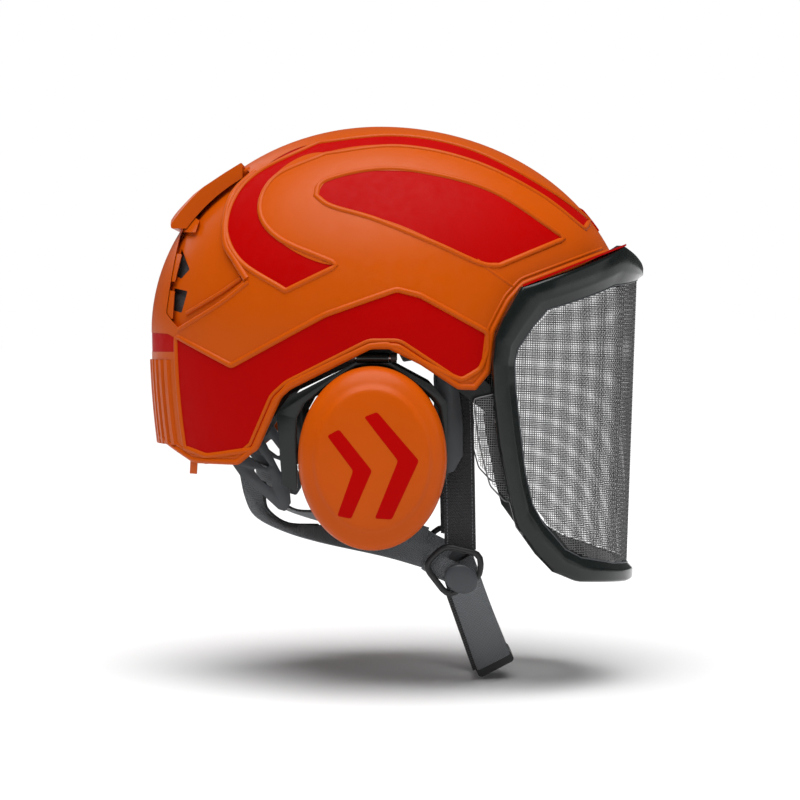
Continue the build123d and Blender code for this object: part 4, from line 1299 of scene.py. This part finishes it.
def strap_mesh(name, pairs, wall):
    """Flat webbing with round edges, and a UV map in metres across and along it."""
    stations = strap_stations(pairs, STRAP_STEP)
    half = wall / 2
    across_count = 8
    rings = []
    uv_rings = []
    run = 0.0
    last_middle = None
    for index, (a, b) in enumerate(stations):
        middle = (a + b) / 2
        nearby = stations[min(index + 1, len(stations) - 1)], stations[max(index - 1, 0)]
        way = (nearby[0][0] + nearby[0][1] - nearby[1][0] - nearby[1][1]).normalized()
        side = (b - a).normalized()
        up = side.cross(way).normalized()
        if last_middle is not None:
            run += (middle - last_middle).length
        last_middle = middle
        width = (b - a).length
        ring = []
        uvs = []
        for top in (1, -1):
            for step in range(across_count + 1):
                share = step / across_count if top > 0 else 1 - step / across_count
                thin = 0.45 if step in (0, across_count) else 1.0
                ring.append(a + side * (share * width) + up * (half * thin * top))
                uvs.append((share * width * MM, run * MM))
        rings.append(ring)
        uv_rings.append(uvs)
    points, faces = stitched_rings(rings, False)
    mesh = bpy.data.meshes.new(name)
    mesh.from_pydata([p * MM for p in points], [], faces)
    flat_uvs = [uv for ring in uv_rings for uv in ring]
    layer = mesh.uv_layers.new(name="weave")
    for loop in mesh.loops:
        layer.data[loop.index].uv = flat_uvs[loop.vertex_index]
    work = bmesh.new()
    work.from_mesh(mesh)
    bmesh.ops.recalc_face_normals(work, faces=work.faces)
    work.to_mesh(mesh)
    work.free()
    return mesh


def slimmed(pairs, start, end):
    """A strap's stations narrowed to a share of its width."""
    made = []
    for a, b in pairs:
        a, b = Vector(a), Vector(b)
        made.append((a.lerp(b, start), a.lerp(b, end)))
    return made


def strap_line(pairs, share, lift):
    """Path along a strap at a share of its width, lifted off its outer face."""
    path = []
    for a, b in strap_stations(pairs, STRAP_STEP):
        path.append(a.lerp(b, share) + Vector((0, lift, 0)))
    return path


class HELMET_OT_straps(bpy.types.Operator):
    """Weave the harness straps and stitch them"""

    bl_idname = "helmet.straps"
    bl_label = "Straps"

    def execute(self, context):
        wall = sizes().strap_wall / MM
        inner_chin = [
            (a + CHIN_TAIL_MOVE[0], b + CHIN_TAIL_MOVE[1])
            for a, b in slimmed(CHIN_STRAP, *CHIN_TAIL_SHARES)
        ]
        straps = (
            ("front_webbing", FRONT_STRAP, "strap_black", "front_strap"),
            ("rear_webbing", REAR_STRAP, "strap_grey", "rear_strap"),
            ("rear_lining", slimmed(REAR_STRAP[:LINING_STATIONS], *LINING_SHARES), "strap_black", None),
            ("chin_webbing", CHIN_STRAP, "strap_grey", "chin_strap"),
            ("chin_tail", inner_chin, "strap_black", None),
            ("loop_webbing", LOOP_STRAP, "strap_grey", None),
        )
        for name, pairs, finish, node in straps:
            left = strap_mesh(name + "_left", pairs, wall)
            right = mirrored_mesh(left, name + "_right")
            for side, shape in (("left", left), ("right", right)):
                made = finish_mesh(shape, f"{name}_{side}", finish, crease=50.0)
                nodes = (f"{node}_{side}",) if node else ()
                placed(made, "root", finish, *nodes)
        for side, way in PAIR:
            paths = []
            for pairs, lift in ((FRONT_STRAP, wall / 2), (CHIN_STRAP, wall / 2)):
                for share in STITCH_SHARES:
                    line = strap_line(pairs, share, lift)
                    paths.append(([Vector((p.x, p.y * way, p.z)) for p in line], False))
            stitches(f"strap_stitches_{side}", paths, "stitch_thread", "root", "strap_grey")
        return {"FINISHED"}


def cap_mesh(name):
    """Domed oval cap of the slider."""
    around = 64
    rings = []
    for share, height in CAP_SECTION:
        ring = []
        for index in range(around):
            angle = 2 * pi * index / around
            u = CAP_HALF_SIZE[0] * share * cos(angle)
            v = CAP_HALF_SIZE[1] * share * sin(angle)
            x = CAP_PLACE[0] + u * cos(CAP_TILT) - v * sin(CAP_TILT)
            z = CAP_PLACE[1] + u * sin(CAP_TILT) + v * cos(CAP_TILT)
            ring.append(Vector((x, CAP_BASE + height, z)))
        rings.append(ring)
    points, faces = stitched_rings(rings, False)
    return mesh_from(name, points, faces)


class HELMET_OT_sliders(bpy.types.Operator):
    """Bend the sliders' loops and set their caps"""

    bl_idname = "helmet.sliders"
    bl_label = "Sliders"

    def execute(self, context):
        radius = sizes().loop_radius
        flat = rounded_run(SLIDER_LOOP, True, 1.5, radius=6.0)
        loop = [Vector((p.x, SLIDER_MIDDLE, p.y)) for p in flat]
        cap = cap_mesh("slider_cover")
        work = bmesh.new()
        work.from_mesh(cap)
        work.from_mesh(mirrored_mesh(cap, "slider_cover_other"))
        work.to_mesh(cap)
        work.free()
        for side, way in PAIR:
            paths = [([Vector((p.x, p.y * way, p.z)) for p in loop], True)]
            name = f"slider_loop_{side}"
            tubes(name, paths, radius, 12, "black_plastic", "root", "black_plastic", f"strap_slider_{side}")
        made = finish_mesh(cap, "slider_covers", "grey_plastic")
        placed(made, "root", "grey_plastic", "slider_caps")
        return {"FINISHED"}


# ---------------------------------------------------------------- fittings and shell finish


def softened(node, name, width):
    """The CAD node's mesh with its sharp edges rounded."""
    made = node_copy(node, name)
    work = bmesh.new()
    work.from_mesh(made.data)
    bmesh.ops.dissolve_limit(work, angle_limit=radians(1.0), verts=work.verts, edges=work.edges)
    work.to_mesh(made.data)
    work.free()
    bevel = made.modifiers.new("Bevel", "BEVEL")
    bevel.width = width
    bevel.segments = 2
    bevel.limit_method = "ANGLE"
    bevel.angle_limit = radians(40)
    return evaluated_mesh(made, name)


SOFTENED = (
    ("ear_yoke_left", "ear_arm_left", "black_gloss"),
    ("ear_yoke_right", "ear_arm_right", "black_gloss"),
    ("neck_bracket_left", "root", "grey_plastic"),
    ("neck_bracket_right", "root", "grey_plastic"),
    ("strap_guide_left", "root", "grey_plastic"),
    ("strap_guide_right", "root", "grey_plastic"),
)
KEPT = {
    "shell_orange": ("outer_shell", "vent_grille_left", "vent_grille_right", "rear_insert", "rear_lip"),
    "inlay_red": (
        "crown_panel_left", "crown_panel_right", "swoosh_left", "swoosh_right", "lower_band_left",
        "lower_band_right", "brow_bump", "visor_seal",
    ),
    "liner_foam": ("impact_liner",),
    "black_gloss": ("visor_arms",),
    "black_plastic": (
        "headband", "ratchet_housing", "adjuster_knob", "adjuster_pinion", "band_rack_left",
        "band_rack_right", "side_bracket_left", "side_bracket_right", "cup_base_left", "cup_base_right",
        "buckle_housing", "buckle_tongue",
    ),
    "grey_plastic": ("buckle_release",),
    "steel": (
        "bracket_screws", "visor_pivot_pins", "ear_hinge_pins", "cup_pivot_pins_left",
        "cup_pivot_pins_right",
    ),
    "cradle_cloth": ("cradle_straps",),
}


class HELMET_OT_fittings(bpy.types.Operator):
    """Round the edges of the moulded fittings, and paint the pieces kept from the frame"""

    bl_idname = "helmet.fittings"
    bl_label = "Fittings"

    def execute(self, context):
        for node, body, finish in SOFTENED:
            mesh = softened(node, node + "_moulded", sizes().edge_radius)
            made = finish_mesh(mesh, node + "_moulded", finish, crease=30.0)
            placed(made, body, finish, node)
        for finish, nodes in KEPT.items():
            for node in nodes:
                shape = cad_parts[node].data
                shape.materials.clear()
                shape.materials.append(material(finish))
        return {"FINISHED"}


# ---------------------------------------------------------------- stage


def lay_floor():
    """Wide pale floor just under the helmet."""
    low = cad_box[0][2] - FLOOR_GAP
    corners = [(-1, -1), (1, -1), (1, 1), (-1, 1)]
    mesh = bpy.data.meshes.new("floor")
    mesh.from_pydata([(x * FLOOR_REACH, y * FLOOR_REACH, low) for x, y in corners], [], [(0, 1, 2, 3)])
    pale = Shader("pale_floor", FLOOR_COLOUR, 0.9, shine=0.1)
    pale.tint(pale.noise(0.4), 0.98, 1.02)
    finish_mesh(mesh, "floor", "pale_floor")


def light_sky(scene):
    """World that is dim as a light and white behind the helmet."""
    world = bpy.data.worlds.new("Studio")
    world.use_nodes = True
    tree = world.node_tree
    sky = tree.nodes["Background"]
    sky.inputs["Color"].default_value = (1.0, 1.0, 1.0, 1.0)
    sky.inputs["Strength"].default_value = SKY_LIGHT
    backdrop = tree.nodes.new("ShaderNodeBackground")
    backdrop.inputs["Color"].default_value = (1.0, 1.0, 1.0, 1.0)
    sight = tree.nodes.new("ShaderNodeLightPath")
    choice = tree.nodes.new("ShaderNodeMixShader")
    tree.links.new(sight.outputs["Is Camera Ray"], choice.inputs["Fac"])
    tree.links.new(sky.outputs["Background"], choice.inputs[1])
    tree.links.new(backdrop.outputs["Background"], choice.inputs[2])
    tree.links.new(choice.outputs["Shader"], tree.nodes["World Output"].inputs["Surface"])
    scene.world = world


def hang_lamps():
    """Soft lamps round the helmet, and a wide sun above it."""
    for name, place, size, power in LAMPS:
        lamp = bpy.data.lights.new(name, "AREA")
        lamp.size = size
        lamp.energy = power
        made = as_object(lamp, name)
        made.location = place
        made.rotation_euler = (LAMP_AIM - Vector(place)).to_track_quat("-Z", "Y").to_euler()
    sun = bpy.data.lights.new("sun", "SUN")
    sun.energy = SUN_POWER
    sun.angle = SUN_SPREAD
    high = as_object(sun, "sun")
    high.rotation_euler = SUN_WAY.to_track_quat("-Z", "Y").to_euler()


def set_camera(scene):
    """Camera on the helmet's right, a little above level."""
    lens = bpy.data.cameras.new("camera")
    lens.sensor_width = 36.0
    lens.lens = LENS
    viewer = as_object(lens, "camera")
    viewer.location = CAMERA_AIM + Vector((0.0, -cos(CAMERA_RISE), sin(CAMERA_RISE))) * CAMERA_FAR
    viewer.rotation_euler = (CAMERA_AIM - viewer.location).to_track_quat("-Z", "Y").to_euler()
    scene.camera = viewer


class HELMET_OT_stage(bpy.types.Operator):
    """Set the floor, the light and the camera"""

    bl_idname = "helmet.stage"
    bl_label = "Stage"

    def execute(self, context):
        scene = context.scene
        lay_floor()
        light_sky(scene)
        scene.view_settings.view_transform = "Standard"
        hang_lamps()
        set_camera(scene)
        return {"FINISHED"}


# ---------------------------------------------------------------- add-on


STEPS = (
    HELMET_OT_materials,
    HELMET_OT_stage,
    HELMET_OT_fittings,
    HELMET_OT_shell_beads,
    HELMET_OT_vent_ridges,
    HELMET_OT_visor_frame,
    HELMET_OT_visor_wires,
    HELMET_OT_cup_covers,
    HELMET_OT_pads,
    HELMET_OT_straps,
    HELMET_OT_sliders,
)


class HELMET_PT_panel(bpy.types.Panel):
    """Helmet settings and steps"""

    bl_idname = "HELMET_PT_panel"
    bl_label = "Forestry helmet"
    bl_space_type = "VIEW_3D"
    bl_region_type = "UI"
    bl_category = "Helmet"

    def draw(self, context):
        for group in (context.scene.helmet_colours, context.scene.helmet_sizes):
            for key in group.__annotations__:
                self.layout.prop(group, key)
        for step in STEPS:
            self.layout.operator(step.bl_idname)


CLASSES = (HelmetColours, HelmetSizes, *STEPS, HELMET_PT_panel)


def register():
    for made in CLASSES:
        bpy.utils.register_class(made)
    bpy.types.Scene.helmet_colours = bpy.props.PointerProperty(type=HelmetColours)
    bpy.types.Scene.helmet_sizes = bpy.props.PointerProperty(type=HelmetSizes)


def unregister():
    del bpy.types.Scene.helmet_sizes
    del bpy.types.Scene.helmet_colours
    for made in reversed(CLASSES):
        bpy.utils.unregister_class(made)


def main():
    """Register the add-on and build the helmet."""
    register()
    for step in STEPS:
        family, action = step.bl_idname.split(".")
        getattr(getattr(bpy.ops, family), action)()


if __name__ == "__main__":
    main()
